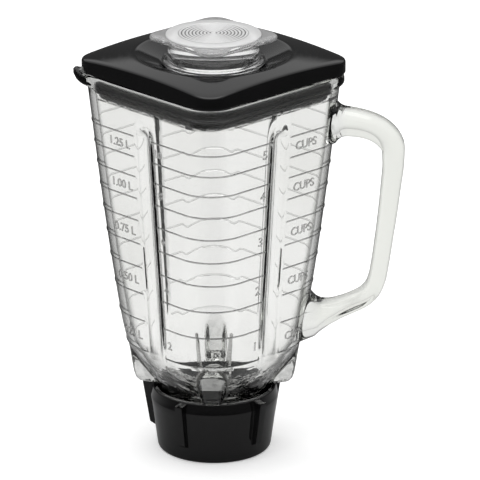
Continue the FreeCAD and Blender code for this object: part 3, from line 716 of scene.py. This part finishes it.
def mark_beads(jar):
    """Notes painted shade on the glass, for its material, where it is thick and where a measuring line stands
    up.
    """
    bead = jar.data.attributes.new(SHADE_ATTRIBUTE, "FLOAT", "POINT")
    grip = jar.data.attributes.new(GRIP, "FLOAT", "POINT")
    for vertex in jar.data.vertices:
        x, y, level = vertex.co / MM
        angle, radius = math.degrees(math.atan2(y, x)), math.hypot(x, y)
        rise = radius - glass_outside(angle, level)
        shade = CORNER_SHADE * (1.0 - smoothstep(3.0, 15.0, from_corner(angle, radius)))
        # painted shade over the rim bead, dimming its bright line
        if level > 231.0 and rise > -1.0:
            shade = RIM_SHADE
        if level < 66.0 and rise > 0.8:
            shade = FOOT_SHADE
        if min(abs(level - line) for line in LINE_LEVELS) < 0.5 and 0.3 * LINE_RISE < rise < 1.5 * LINE_RISE:
            shade = 1.0 if y < 0.0 else BACK_LINE_SHADE
        bead.data[vertex.index].value = shade
        if x > 0.0 and rise > 0.0 and 80.0 < level < 220.0:
            grip.data[vertex.index].value = smoothstep(3.0, 10.0, rise)


def make_jar():
    jar = combine(glass_body(), glass_handle(), "UNION")
    jar.name = jar.data.name = "jar_glass"
    mark_beads(jar)
    return finish_piece(jar, "jar", "glass", GLASS, "glass_jar", sharp=40.0)


make_jar()


# ---------------------------------------------------------------- lettering pressed on the glass

MARK_GAP = 0.03
WORD_HIGH, CUP_COUNT_HIGH, SMALL_COUNT_HIGH = 5.2, 5.6, 5.0
MARK_ROWS = (201.6, 175.4, 146.8, 115.4, 79.4)
LEFT_FLAT, RIGHT_FLAT = 225.0, 315.0


def glass_reach(flat_angle, along, level):
    """How far out the glass is, square to a flat and along millimetres to the side of its middle."""
    reach = curve_through(FLATS, level)
    for attempt in range(4):
        angle = flat_angle + math.degrees(math.atan2(along, reach))
        reach = math.sqrt(glass_outside(angle, level) ** 2 - along ** 2)
    return reach


def letter(text, height, flat_angle, along, level):
    """Raised lettering on one of the jar's flats, along millimetres to the right of its flute."""
    deselect()
    bpy.ops.object.text_add()
    mark = bpy.context.object
    mark.data.body = text
    mark.data.align_x = mark.data.align_y = "CENTER"
    mark.data.size = height * 1.4 * MM
    mark.data.extrude = 0.2 * MM
    mark.data.bevel_depth = 0.15 * MM
    mark.data.bevel_resolution = 1
    mark.data.resolution_u = 4
    mark.data.offset = -0.05 * MM
    bpy.ops.object.convert(target="MESH")
    turn = math.radians(flat_angle)
    outward = Vector((math.cos(turn), math.sin(turn), 0.0))
    sideways = Vector((-math.sin(turn), math.cos(turn), 0.0))
    back = min(vertex.co.z for vertex in mark.data.vertices)
    for vertex in mark.data.vertices:
        height_here = level + vertex.co.y / MM
        beside = along + vertex.co.x / MM
        out = glass_reach(flat_angle, beside, height_here) + MARK_GAP + (vertex.co.z - back) / MM
        place = outward * out + sideways * beside
        vertex.co = (place + Vector((0.0, 0.0, height_here))) * MM
    return mark


def gather(name, pieces):
    """Joins separate letters into one piece."""
    deselect()
    for piece in pieces:
        piece.select_set(True)
    bpy.context.view_layer.objects.active = pieces[0]
    bpy.ops.object.join()
    pieces[0].name = pieces[0].data.name = name
    return pieces[0]


def make_marks():
    litres, words, counts, small = [], [], [], []
    for row, level in enumerate(MARK_ROWS):
        litres.append(("%.2f L" % (1.25 - 0.25 * row), WORD_HIGH, LEFT_FLAT, -20.5, level))
        words.append(("CUPS", WORD_HIGH, RIGHT_FLAT, 21.0, level))
        counts.append((str(5 - row), CUP_COUNT_HIGH, RIGHT_FLAT, -12.5, level))
        small.append((str(10 - 2 * row), SMALL_COUNT_HIGH, LEFT_FLAT, 13.0, level))
    for name, marks in (("litre_marks", litres), ("cup_marks", words), ("count_marks", counts + small)):
        finish_piece(gather(name, [letter(*mark) for mark in marks]), "jar", "glass", LETTERING)


make_marks()


# ---------------------------------------------------------------- rings for the moulded parts

ROUND = [3.0 * i for i in range(120)]


def square_ring(half, corner_radius, level):
    """A rounded square the way the jar is turned, with its corners on the axes."""
    corner = half * math.sqrt(2.0) - corner_radius * (math.sqrt(2.0) - 1.0)
    return [on_circle(angle, square_radius(angle, half, corner), level) for angle in ANGLES]


def square_rings(steps):
    """Rounded squares, at each (half width, corner radius, level) step."""
    return [square_ring(*step) for step in steps]


def spun(ring, degrees):
    """A ring turned about the jar's axis."""
    cosine, sine = math.cos(math.radians(degrees)), math.sin(math.radians(degrees))
    return [(x * cosine - y * sine, x * sine + y * cosine, level) for x, y, level in ring]


def half_turn(steps):
    """How far out and how far up, on a half circle from straight down to straight up."""
    turns = [math.radians(180.0 * i / steps - 90.0) for i in range(steps + 1)]
    return [(math.cos(turn), math.sin(turn)) for turn in turns]


def eased(profile, ease):
    """A closed profile of (radius, level) points with each corner cut back a little."""
    points = []
    for index, (radius, level) in enumerate(profile):
        for other in (profile[index - 1], profile[(index + 1) % len(profile)]):
            away = math.hypot(other[0] - radius, other[1] - level)
            share = min(0.4, ease / away)
            points.append((radius + (other[0] - radius) * share, level + (other[1] - level) * share))
    return points


def turned(name, profile, ease):
    """Turns a closed profile about the jar's axis."""
    points = eased(profile, ease)
    return draw(name, round_rings(points + points[:1], ROUND))


# ---------------------------------------------------------------- the lid

LID_HALF, LID_CORNER = 59.0, 12.4
LID_BOTTOM, LID_EDGE = 237.8, 245.8
CROWN = 530.0
LID_WALL = 3.0
DISH_TOP, DISH_FLOOR, DISH_LEVEL = 46.0, 32.0, 243.4
LID_HOLE, COLLAR, COLLAR_BOTTOM = 27.6, 30.4, 231.0
PLUG_HALF, PLUG_CORNER, PLUG_BOTTOM = 50.3, 10.0, 222.5
SEAL_LOW, SEAL_HIGH, SEAL_LIP_HALF = 226.0, 234.0, 54.0
SEAL_FLANGE, SEAL_CORNER = 57.0, 15.0
# a gasket lip's section: height from its middle, and share of its reach
SEAL_LIP = ((0.8, 0.0), (0.55, 0.85), (0.1, 1.0), (-0.3, 0.95), (-0.6, 0.5), (-0.8, 0.0))


def crown(radius):
    """Height of the lid's slightly domed top."""
    edge = LID_HALF * math.sqrt(2.0) - LID_CORNER * (math.sqrt(2.0) - 1.0)
    return LID_EDGE + math.sqrt(CROWN ** 2 - radius ** 2) - math.sqrt(CROWN ** 2 - edge ** 2)


def crown_ring(half, corner_radius, drop):
    ring = square_ring(half, corner_radius, 0.0)
    return [(x, y, crown(math.hypot(x, y)) - drop) for x, y, level in ring]


def crown_between(share):
    """A ring on the crown, share of the way from the dish's edge to the lid's edge."""
    outer = square_ring(LID_HALF - 1.4, LID_CORNER - 1.4, 0.0)
    ring = []
    for angle, (x, y, level) in zip(ANGLES, outer):
        radius = DISH_TOP + 1.2 + (math.hypot(x, y) - DISH_TOP - 1.2) * share
        ring.append(on_circle(angle, radius, crown(radius)))
    return ring


def lid_rings():
    bore = round_rings((
        (LID_HOLE + 0.3, COLLAR_BOTTOM), (LID_HOLE, COLLAR_BOTTOM + 0.4), (LID_HOLE, DISH_LEVEL - 0.8),
        (LID_HOLE + 0.25, DISH_LEVEL - 0.2), (LID_HOLE + 0.9, DISH_LEVEL)))
    dish = round_rings((
        (DISH_FLOOR - 0.8, DISH_LEVEL), (DISH_FLOOR, DISH_LEVEL + 0.1), (DISH_FLOOR + 0.8, DISH_LEVEL + 0.5),
        (DISH_TOP - 1.0, crown(DISH_TOP) - 0.62), (DISH_TOP, crown(DISH_TOP) - 0.18)))
    top = [crown_between(share / 6.0) for share in range(7)]
    edge = [crown_ring(LID_HALF - narrower, LID_CORNER - tighter, drop) for narrower, tighter, drop in
            ((0.9, 0.9, 0.08), (0.35, 0.35, 0.35), (0.08, 0.0, 0.8), (0.0, 0.0, 1.4))]
    inside, inside_corner = PLUG_HALF - LID_WALL, PLUG_CORNER - LID_WALL
    plug = square_rings((
        (LID_HALF, LID_CORNER, LID_BOTTOM + 0.8), (LID_HALF - 0.25, LID_CORNER, LID_BOTTOM + 0.2),
        (LID_HALF - 0.9, LID_CORNER - 0.9, LID_BOTTOM), (PLUG_HALF + 0.6, PLUG_CORNER + 0.6, LID_BOTTOM),
        (PLUG_HALF, PLUG_CORNER, LID_BOTTOM - 0.6), (PLUG_HALF, PLUG_CORNER, PLUG_BOTTOM + 0.8),
        (PLUG_HALF - 0.8, PLUG_CORNER - 0.8, PLUG_BOTTOM), (inside + 0.4, inside_corner, PLUG_BOTTOM),
        (inside, inside_corner, PLUG_BOTTOM + 0.4)))
    ceiling = DISH_LEVEL - LID_WALL
    under = [crown_ring(inside, inside_corner, LID_WALL)] + round_rings((
        (DISH_TOP + 0.6, crown(DISH_TOP) - LID_WALL), (DISH_FLOOR + 1.6, ceiling), (COLLAR + 0.5, ceiling),
        (COLLAR, ceiling - 0.5), (COLLAR, COLLAR_BOTTOM + 0.3), (COLLAR - 0.3, COLLAR_BOTTOM)))
    return bore + dish + top + edge + plug + under + bore[:1]


def seal_rings():
    """A soft band round the plug: a flange on the rim and three lips that press on the glass."""
    inner, band = PLUG_HALF + 0.65, PLUG_HALF + 1.8
    flange_low, flange_high = JAR_TOP + 0.06, LID_BOTTOM - 0.03
    rings = square_rings((
        (inner, PLUG_CORNER, flange_high), (SEAL_FLANGE - 0.1, SEAL_CORNER, flange_high),
        (SEAL_FLANGE, SEAL_CORNER, flange_high - 0.08), (SEAL_FLANGE, SEAL_CORNER, flange_low),
        (SEAL_FLANGE - 2.5, SEAL_CORNER, flange_low), (SEAL_FLANGE - 2.8, SEAL_CORNER, flange_low - 0.5),
        (SEAL_FLANGE - 3.4, SEAL_CORNER - 1.0, SEAL_HIGH + 0.8),
        (band + 0.3, PLUG_CORNER + 2.0, SEAL_HIGH + 0.3)))
    for centre in (SEAL_HIGH - 1.2, (SEAL_LOW + SEAL_HIGH) / 2, SEAL_LOW + 1.2):
        rings += square_rings([
            (band + (SEAL_LIP_HALF - band) * out, PLUG_CORNER + 1.8 + 3.2 * out, centre + rise)
            for rise, out in SEAL_LIP])
    rings += square_rings(((band - 0.3, PLUG_CORNER + 1.5, SEAL_LOW), (inner, PLUG_CORNER, SEAL_LOW)))
    return rings + rings[:1]


def make_lid():
    finish_piece(draw("lid", lid_rings()), "lid", "black_plastic", BLACK, "lid_shell")
    finish_piece(draw("lid_gasket", seal_rings()), "lid", "rubber", RUBBER, "lid_seal")


make_lid()


# ---------------------------------------------------------------- the clear filler cap

CUP_RADIUS, CUP_WALL, CUP_BOTTOM = 27.2, 2.0, 223.5
FLANGE_RADIUS, FLANGE_LOW, FLANGE_HIGH = 31.0, 243.9, 246.4
PLATE_HALF, PLATE_CORNER = 29.7, 10.0
DISC_RADIUS, DISC_HIGH = 28.4, 261.4
RING_RISE = 0.5
PLATE_ROUNDING = 1.2


def concentric(radius):
    """Height of the turned rings in the middle of the cap."""
    fade = 1.0 - smoothstep(20.0, 21.5, radius)
    return DISC_HIGH + 0.05 + RING_RISE * fade * (0.5 - 0.5 * math.cos(2 * math.pi * radius / RING_PITCH))


def filler_rings():
    inner = CUP_RADIUS - CUP_WALL
    under = round_rings([(radius, PLATE_LOW + 0.9) for radius in (0.3, 8.0, 16.0, inner - 1.2)])
    wall = round_rings((
        (inner - 0.3, PLATE_LOW + 0.6), (inner, PLATE_LOW - 0.4), (inner, CUP_BOTTOM + 0.6),
        (inner + 0.5, CUP_BOTTOM), (CUP_RADIUS - 0.5, CUP_BOTTOM), (CUP_RADIUS, CUP_BOTTOM + 0.6),
        (CUP_RADIUS, FLANGE_LOW - 0.4), (CUP_RADIUS + 0.4, FLANGE_LOW)))
    nose = (FLANGE_HIGH - FLANGE_LOW) / 2
    flange = round_rings([(FLANGE_RADIUS - nose + nose * out, FLANGE_LOW + nose + nose * up)
                          for out, up in half_turn(8)])
    neck = round_rings((
        (CUP_RADIUS + 0.6, FLANGE_HIGH), (CUP_RADIUS, FLANGE_HIGH + 0.6), (CUP_RADIUS, PLATE_LOW - 0.6),
        (CUP_RADIUS + 0.6, PLATE_LOW)))
    half = (PLATE_HIGH - PLATE_LOW) / 2
    plate = square_rings([
        (PLATE_HALF + PLATE_ROUNDING * (out - 1.0), PLATE_CORNER + PLATE_ROUNDING * (out - 1.0),
         PLATE_LOW + half + half * up) for out, up in half_turn(9)])
    disc = round_rings((
        (DISC_RADIUS + 0.15, PLATE_HIGH), (DISC_RADIUS, PLATE_HIGH + 0.3),
        (DISC_RADIUS - 0.15, DISC_HIGH - 0.25), (DISC_RADIUS - 0.6, DISC_HIGH)))
    top = round_rings([(radius, concentric(radius)) for radius in (22.8 - 0.35 * i for i in range(65))])
    return under + wall + flange + neck + plate + disc + top


def make_filler_cap():
    piece = draw("filler_cap_clear", filler_rings())
    finish_piece(piece, "filler", "clear_plastic", PLASTIC, "filler_cap", sharp=50.0)


make_filler_cap()


# ---------------------------------------------------------------- the screw cap under the jar

CAP_RIM = 39.6
CAP_BORE, CAP_SKIRT_BORE, CAP_SHOULDER_BORE = 34.5, 29.5, 24.5
SHOULDER_LOW, SHOULDER_HIGH = 8.5, 11.8
CAP_THREAD_START, CAP_THREAD_RISE = 16.0, 0.9
KEYS, FIRST_KEY, KEY_WIDTH, KEY_RADIUS = 5, 26.0, 5.0, 38.0
# outside of the cap and of its keys, as (level, radius)
CAP_OUTSIDE = ((0.0, 33.0), (0.4, 33.9), (1.1, 34.45), (2.0, 34.7), (32.9, 38.8), (33.3, 38.7), (39.0, 37.7),
               (39.4, 37.5), (39.6, 37.1))
KEY_OUTSIDE = ((9.6, 36.2), (10.4, 37.6), (11.4, 39.2), (12.0, 39.9), (37.6, 44.2), (38.4, 44.0),
               (38.8, 38.6))


def cap_angles():
    """Angles round the cap, with close pairs where the sides of the keys rise."""
    half = math.degrees(KEY_WIDTH / 2 / KEY_RADIUS)
    angles = []
    for key in range(KEYS):
        centre = FIRST_KEY + 360.0 / KEYS * key
        angles += [centre + side * (half + ease) for side in (-1, 1) for ease in (0.5, 0.1, -0.1, -0.7, -1.9)]
        angles.append(centre)
        gap = (360.0 / KEYS - 2 * half - 1.0) / 24
        angles += [centre + half + 0.5 + gap * step for step in range(1, 24)]
    return sorted(angle % 360.0 for angle in angles)


CAP_ANGLES = cap_angles()


def straight_through(points, place):
    """A value between points joined by straight lines."""
    for (a, low), (b, high) in zip(points, points[1:]):
        if a <= place <= b:
            return low + (high - low) * (place - a) / (b - a)
    return points[0][1] if place < points[0][0] else points[-1][1]


def key_share(angle):
    """1 on a key, 0 between the keys."""
    pitch = 360.0 / KEYS
    away = abs((angle - FIRST_KEY + pitch / 2) % pitch - pitch / 2)
    return 1.0 - smoothstep(KEY_WIDTH / 2 - 0.5, KEY_WIDTH / 2 + 0.12, KEY_RADIUS * math.radians(away))


def cap_ring(level):
    plain = reach = straight_through(CAP_OUTSIDE, level)
    if KEY_OUTSIDE[0][0] <= level <= KEY_OUTSIDE[-1][0]:
        reach = max(plain, straight_through(KEY_OUTSIDE, level))
    return [on_circle(angle, plain + (reach - plain) * key_share(angle), level) for angle in CAP_ANGLES]


def cap_thread_ring(level):
    """The cap's bore, with its screw thread standing inwards."""
    return [on_circle(angle, CAP_BORE - CAP_THREAD_RISE * thread_rise(angle, level, CAP_THREAD_START), level)
            for angle in CAP_ANGLES]


def screw_cap_rings():
    outside = [0.0, 0.4, 1.1, 2.0, 5.0, 9.2, 9.6, 10.4, 11.4, 12.0, 16.0, 20.0, 25.0, 29.0, 32.9, 33.1, 33.3,
               36.0, 37.6, 38.4, 38.8, 39.0, 39.3, 39.6]
    rings = [cap_ring(level) for level in outside]
    rings += round_rings(((CAP_BORE + 0.7, CAP_RIM), (CAP_BORE, CAP_RIM - 0.7)), CAP_ANGLES)
    rings += [cap_thread_ring(34.0 - 0.55 * i) for i in range(36)]
    rings += round_rings((
        (CAP_BORE, SHOULDER_HIGH + 0.5), (CAP_BORE - 0.5, SHOULDER_HIGH),
        (CAP_SHOULDER_BORE + 0.4, SHOULDER_HIGH), (CAP_SHOULDER_BORE, SHOULDER_HIGH - 0.4),
        (CAP_SHOULDER_BORE, SHOULDER_LOW + 0.4), (CAP_SHOULDER_BORE + 0.4, SHOULDER_LOW),
        (CAP_SKIRT_BORE - 0.5, SHOULDER_LOW), (CAP_SKIRT_BORE, SHOULDER_LOW - 0.5),
        (CAP_SKIRT_BORE, 0.5), (CAP_SKIRT_BORE + 0.5, 0.0)), CAP_ANGLES)
    return rings + rings[:1]


def make_screw_cap():
    finish_piece(draw("screw_cap", screw_cap_rings()), "screw_cap", "black_plastic", BLACK, "base_cap",
                 sharp=32.0)


make_screw_cap()


# ---------------------------------------------------------------- the blade unit

HOUSING_NUT_ACROSS, HOUSING_NUT_BORE = 22.0, 8.02
CAP_NUT_ACROSS, CAP_NUT_HEXAGON = 10.0, 3.2
DRIVE_HALF = 4.75
SHAFT_SHOULDER = 38.0


def span(node):
    """A round node's outer radius and its lowest and highest level."""
    low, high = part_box(node)
    return high[0] / MM, low[2] / MM, high[2] / MM


def make_ring(node, body, slot, material, bore, ease):
    """A plain ring, bush or washer, eased at its corners."""
    outer, low, high = span(node)
    profile = ((bore, low), (outer, low), (outer, high), (bore, high))
    return finish_piece(turned(node + "_turned", profile, ease), body, slot, material, node, sharp=50.0)


def hexagon_ring(across, most, level):
    """A hexagon's outline, cut off by the chamfer at radius most."""
    return [on_circle(angle, min(across / 2 / math.cos(math.radians(angle % 60.0 - 30.0)), most), level)
            for angle in ROUND]


def nut_rings(across, low, high):
    """A nut's faces from its bottom to its top, with the round chamfers that a lathe cuts."""
    corner, chamfer = across / math.sqrt(3.0), across / 2 * 0.98
    return [hexagon_ring(across, most, level) for most, level in (
        (chamfer, low), (corner * 0.965, low + 0.35), (corner, low + 0.8), (corner, high - 0.8),
        (corner * 0.965, high - 0.35), (chamfer, high))]


def make_housing_nut():
    low, high = span("housing_nut")[1:]
    rings = nut_rings(HOUSING_NUT_ACROSS, low, high) + round_rings((
        (HOUSING_NUT_BORE + 0.38, high), (HOUSING_NUT_BORE, high - 0.4), (HOUSING_NUT_BORE, low + 0.4),
        (HOUSING_NUT_BORE + 0.38, low)), ROUND)
    finish_piece(draw("housing_nut_turned", rings + rings[:1]), "blade_unit", "steel", TURNED, "housing_nut",
                 sharp=25.0)


def make_cap_nut():
    low, high = span("cap_nut")[1:]
    shoulder = low + CAP_NUT_HEXAGON
    dome = [(radius, shoulder + rise) for radius, rise in
            ((4.55, 0.0), (4.5, 0.7), (4.1, 1.6), (3.2, 2.5), (1.8, 3.1))]
    rings = round_rings([(0.3, low)], ROUND) + nut_rings(CAP_NUT_ACROSS, low, shoulder)
    rings += round_rings(dome + [(0.3, high - 0.1)], ROUND)
    finish_piece(draw("cap_nut_turned", rings), "rotor", "steel", TURNED, "cap_nut", sharp=25.0)


def make_drive_square():
    low, high = span("drive_square")[1:]
    rings = square_rings((
        (0.3, 0.1, low), (DRIVE_HALF - 0.5, 0.6, low), (DRIVE_HALF, 0.9, low + 0.5),
        (DRIVE_HALF, 0.9, high - 0.3), (DRIVE_HALF - 0.3, 0.7, high), (0.3, 0.1, high)))
    rings = [spun(ring, 45.0) for ring in rings]
    finish_piece(draw("drive_square_block", rings), "rotor", "steel", TURNED, "drive_square", sharp=30.0)


# Half sections of the turned parts, as (radius, level) in order round each. The housing's last four
# points and the shaft's last two depend on how high their solids reach.
PLATE_SECTION = ((32.6, 11.8), (32.6, 13.0), (23.4, 13.0), (22.6, 13.5), (14.0, 19.5), (13.0, 20.0),
                 (8.05, 20.0), (8.05, 18.8), (12.6, 18.8), (13.4, 18.3), (21.9, 12.2), (22.8, 11.8))
HOUSING_SECTION = ((4.6, 19.4), (6.0, 19.4), (6.0, 14.2), (8.0, 14.2), (8.0, 21.0), (11.5, 21.0),
                   (11.5, 23.6), (8.0, 24.8))
SHAFT_SECTION = ((0.25, 9.2), (3.0, 9.2), (3.0, 12.2), (3.2, 12.2), (3.2, 13.2), (4.0, 13.2),
                 (4.0, SHAFT_SHOULDER), (3.0, SHAFT_SHOULDER))
SEAL_POCKET = 7.4
# node, body, slot, material, bore and easing of each plain ring
PLAIN_RINGS = (
    ("sealing_ring", "blade_unit", "rubber", RUBBER, 26.4, 0.6),
    ("plate_washer", "blade_unit", "rubber", RUBBER, 8.0, 0.2),
    ("lower_bush", "blade_unit", "bronze", BRONZE, 4.05, 0.2),
    ("upper_bush", "blade_unit", "bronze", BRONZE, 4.05, 0.2),
    ("shaft_seal", "blade_unit", "rubber", RUBBER, 4.03, 0.35),
    ("lower_thrust_washer", "rotor", "nylon", NYLON, 4.05, 0.2),
    ("retaining_clip", "rotor", "steel", TURNED, 3.2, 0.2),
    ("upper_thrust_washer", "rotor", "nylon", NYLON, 4.05, 0.2),
    ("blade_spacer", "rotor", "steel", TURNED, 3.05, 0.2),
    ("lock_washer", "rotor", "steel", TURNED, 3.05, 0.2),
)


def make_bearing_unit():
    plate = turned("bearing_plate_pressed", PLATE_SECTION, 0.3)
    finish_piece(plate, "blade_unit", "steel", SHEET_STEEL, "bearing_plate")
    top = span("bearing_housing")[2]
    inside = ((7.4, top), (6.0, top), (6.0, top - SEAL_POCKET), (4.6, top - SEAL_POCKET))
    housing = turned("bearing_housing_turned", HOUSING_SECTION + inside, 0.3)
    finish_piece(housing, "blade_unit", "steel", TURNED, "bearing_housing")
    end = span("drive_shaft")[2]
    shaft = round_rings(SHAFT_SECTION + ((3.0, end), (0.25, end)), ROUND)
    finish_piece(draw("drive_shaft_turned", shaft), "rotor", "steel", TURNED, "drive_shaft")
    for ring in PLAIN_RINGS:
        make_ring(*ring)


# ---------------------------------------------------------------- blades

BLADE_THICK = 1.5
BLADE_BORE = 3.05
HUB_HALF = 9.0
# an arm's sections: share of the way from hub to tip, back and front edges as shares of the half
# width, and width of the ground edge
ARM = ((0.25, 0.80, 0.96, 2.4), (0.5, 0.78, 0.80, 2.4), (0.75, 0.76, 0.42, 2.0), (0.93, 0.75, -0.15, 1.0),
       (1.0, 0.72, -0.42, 0.3))


def blade_section(along, level, lean, width, grind):
    """A ring across a blade: its thickness, with one long edge ground to a cutting edge."""
    top = (math.sin(lean) * -BLADE_THICK, math.cos(lean) * BLADE_THICK)
    back, front = -width[0], width[1]
    edge = front - grind
    low = [(back, 0.0), (edge * 0.5, 0.0), (edge, 0.0), (front, 0.0)]
    high = [(front, 0.14), (edge, 1.0), (edge * 0.5, 1.0), (back, 1.0)]
    return [(along + top[0] * share, across, level + top[1] * share) for across, share in low + high]


def blade_rings(level, reach, rise, width):
    """Sections from one pointed tip over the hub to the other."""
    lean = math.atan2(rise, reach - HUB_HALF)
    half = width / 2
    arm = [(HUB_HALF - 0.5, lean * 0.25, half, half, 0.3),
           (HUB_HALF + 0.5, lean * 0.75, half * 0.92, half, 1.2)]
    for share, back, front, grind in ARM:
        arm.append((HUB_HALF + (reach - HUB_HALF) * share, lean, half * back, half * front, grind))

    def height(along):
        return level + max(0.0, along - HUB_HALF) / (reach - HUB_HALF) * rise

    right = [blade_section(along, height(along), tilt, (back, front), grind)
             for along, tilt, back, front, grind in arm]
    left = []
    for ring in right:
        turned_ring = [(-x, -y, z) for x, y, z in ring]
        left.append(turned_ring[3::-1] + turned_ring[:3:-1])
    return list(reversed(left)) + right


def bore_out(piece, radius, low, high):
    """Drills a hole down the axis."""
    deselect()
    bpy.ops.mesh.primitive_cylinder_add(vertices=48, radius=radius * MM, depth=(high - low) * MM,
                                        location=(0.0, 0.0, (low + high) / 2 * MM))
    combine(piece, bpy.context.object, "DIFFERENCE")


def make_blade(node, reach, rise, width, turn):
    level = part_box(node)[0][2] / MM
    rings = [spun(ring, turn) for ring in blade_rings(level, reach, rise, width)]
    blade = draw(node + "_ground", rings)
    bore_out(blade, BLADE_BORE, level - 3.0, level + 4.0)
    finish_piece(blade, "rotor", "steel", BLADE_STEEL, node, sharp=15.0)


make_bearing_unit()
make_housing_nut()
make_cap_nut()
make_drive_square()
make_blade("lower_blades", reach=29.0, rise=10.0, width=14.0, turn=0.0)
make_blade("upper_blades", reach=11.5, rise=30.0, width=11.0, turn=15.0)


# ---------------------------------------------------------------- floor, light and camera

def make_floor():
    deselect()
    bpy.ops.mesh.primitive_plane_add(size=60.0, location=(0.0, 0.0, 0.0))
    floor = bpy.context.object
    floor.name = "floor"
    floor.data.materials.append(pale_floor())


def soft_light(name, place, aim, size, power):
    lamp = bpy.data.lights.new(name, "AREA")
    lamp.shape = "RECTANGLE"
    lamp.size, lamp.size_y = size
    lamp.energy = power
    holder = bpy.data.objects.new(name, lamp)
    bpy.context.scene.collection.objects.link(holder)
    holder.location = place
    holder.rotation_euler = (Vector(aim) - Vector(place)).to_track_quat("-Z", "Y").to_euler()


def studio_sky():
    """White behind and overhead, with a dark band low down for glass and gloss to mirror."""
    world = bpy.data.worlds.new("studio")
    bpy.context.scene.world = world
    world.use_nodes = True
    nodes, links = world.node_tree.nodes, world.node_tree.links
    place = nodes.new("ShaderNodeTexCoord")
    split = nodes.new("ShaderNodeSeparateXYZ")
    ramp = nodes.new("ShaderNodeValToRGB")
    stops = ((0.0, 0.06), (0.10, 0.13), (0.30, 0.10), (0.345, 0.65), (0.60, 0.75), (0.85, 1.0))
    while len(ramp.color_ramp.elements) < len(stops):
        ramp.color_ramp.elements.new(0.5)
    for element, (height, value) in zip(ramp.color_ramp.elements, stops):
        element.position = height
        element.color = (value, value, value, 1.0)
    background = nodes["Background"]
    backdrop = nodes.new("ShaderNodeBackground")
    backdrop.inputs["Color"].default_value = (1.0, 1.0, 1.0, 1.0)
    seen = nodes.new("ShaderNodeLightPath")
    mix = nodes.new("ShaderNodeMixShader")
    either = nodes.new("ShaderNodeMath")
    either.operation = "MAXIMUM"
    for start, end in ((place.outputs["Generated"], split.inputs[0]), (split.outputs["Z"], ramp.inputs[0]),
                       (ramp.outputs[0], background.inputs["Color"]),
                       (seen.outputs["Is Camera Ray"], either.inputs[0]),
                       (seen.outputs["Is Transmission Ray"], either.inputs[1]),
                       (either.outputs[0], mix.inputs[0]), (background.outputs[0], mix.inputs[1]),
                       (backdrop.outputs[0], mix.inputs[2]),
                       (mix.outputs[0], nodes["World Output"].inputs["Surface"])):
        links.new(start, end)


def make_camera():
    lens, distance = 300.0, 2.407
    elevation, azimuth = math.radians(19.7), math.radians(1.3)
    aim = Vector((0.0157, 0.0, 0.1317))
    back = Vector((math.sin(azimuth) * math.cos(elevation), -math.cos(azimuth) * math.cos(elevation),
                   math.sin(elevation)))
    camera = bpy.data.objects.new("camera", bpy.data.cameras.new("camera"))
    bpy.context.scene.collection.objects.link(camera)
    camera.data.lens = lens
    camera.data.sensor_width = 36.0
    camera.location = aim + back * distance
    camera.rotation_euler = (-back).to_track_quat("-Z", "Y").to_euler()
    bpy.context.scene.camera = camera


make_floor()
studio_sky()
soft_light("overhead", (0.0, 0.0, 2.6), (0.0, 0.0, 0.0), (2.4, 2.4), 36.0)
make_camera()
scene = bpy.context.scene
scene.view_settings.view_transform = "Standard"
scene.cycles.max_bounces = 24
scene.cycles.transmission_bounces = 24
scene.cycles.transparent_max_bounces = 16
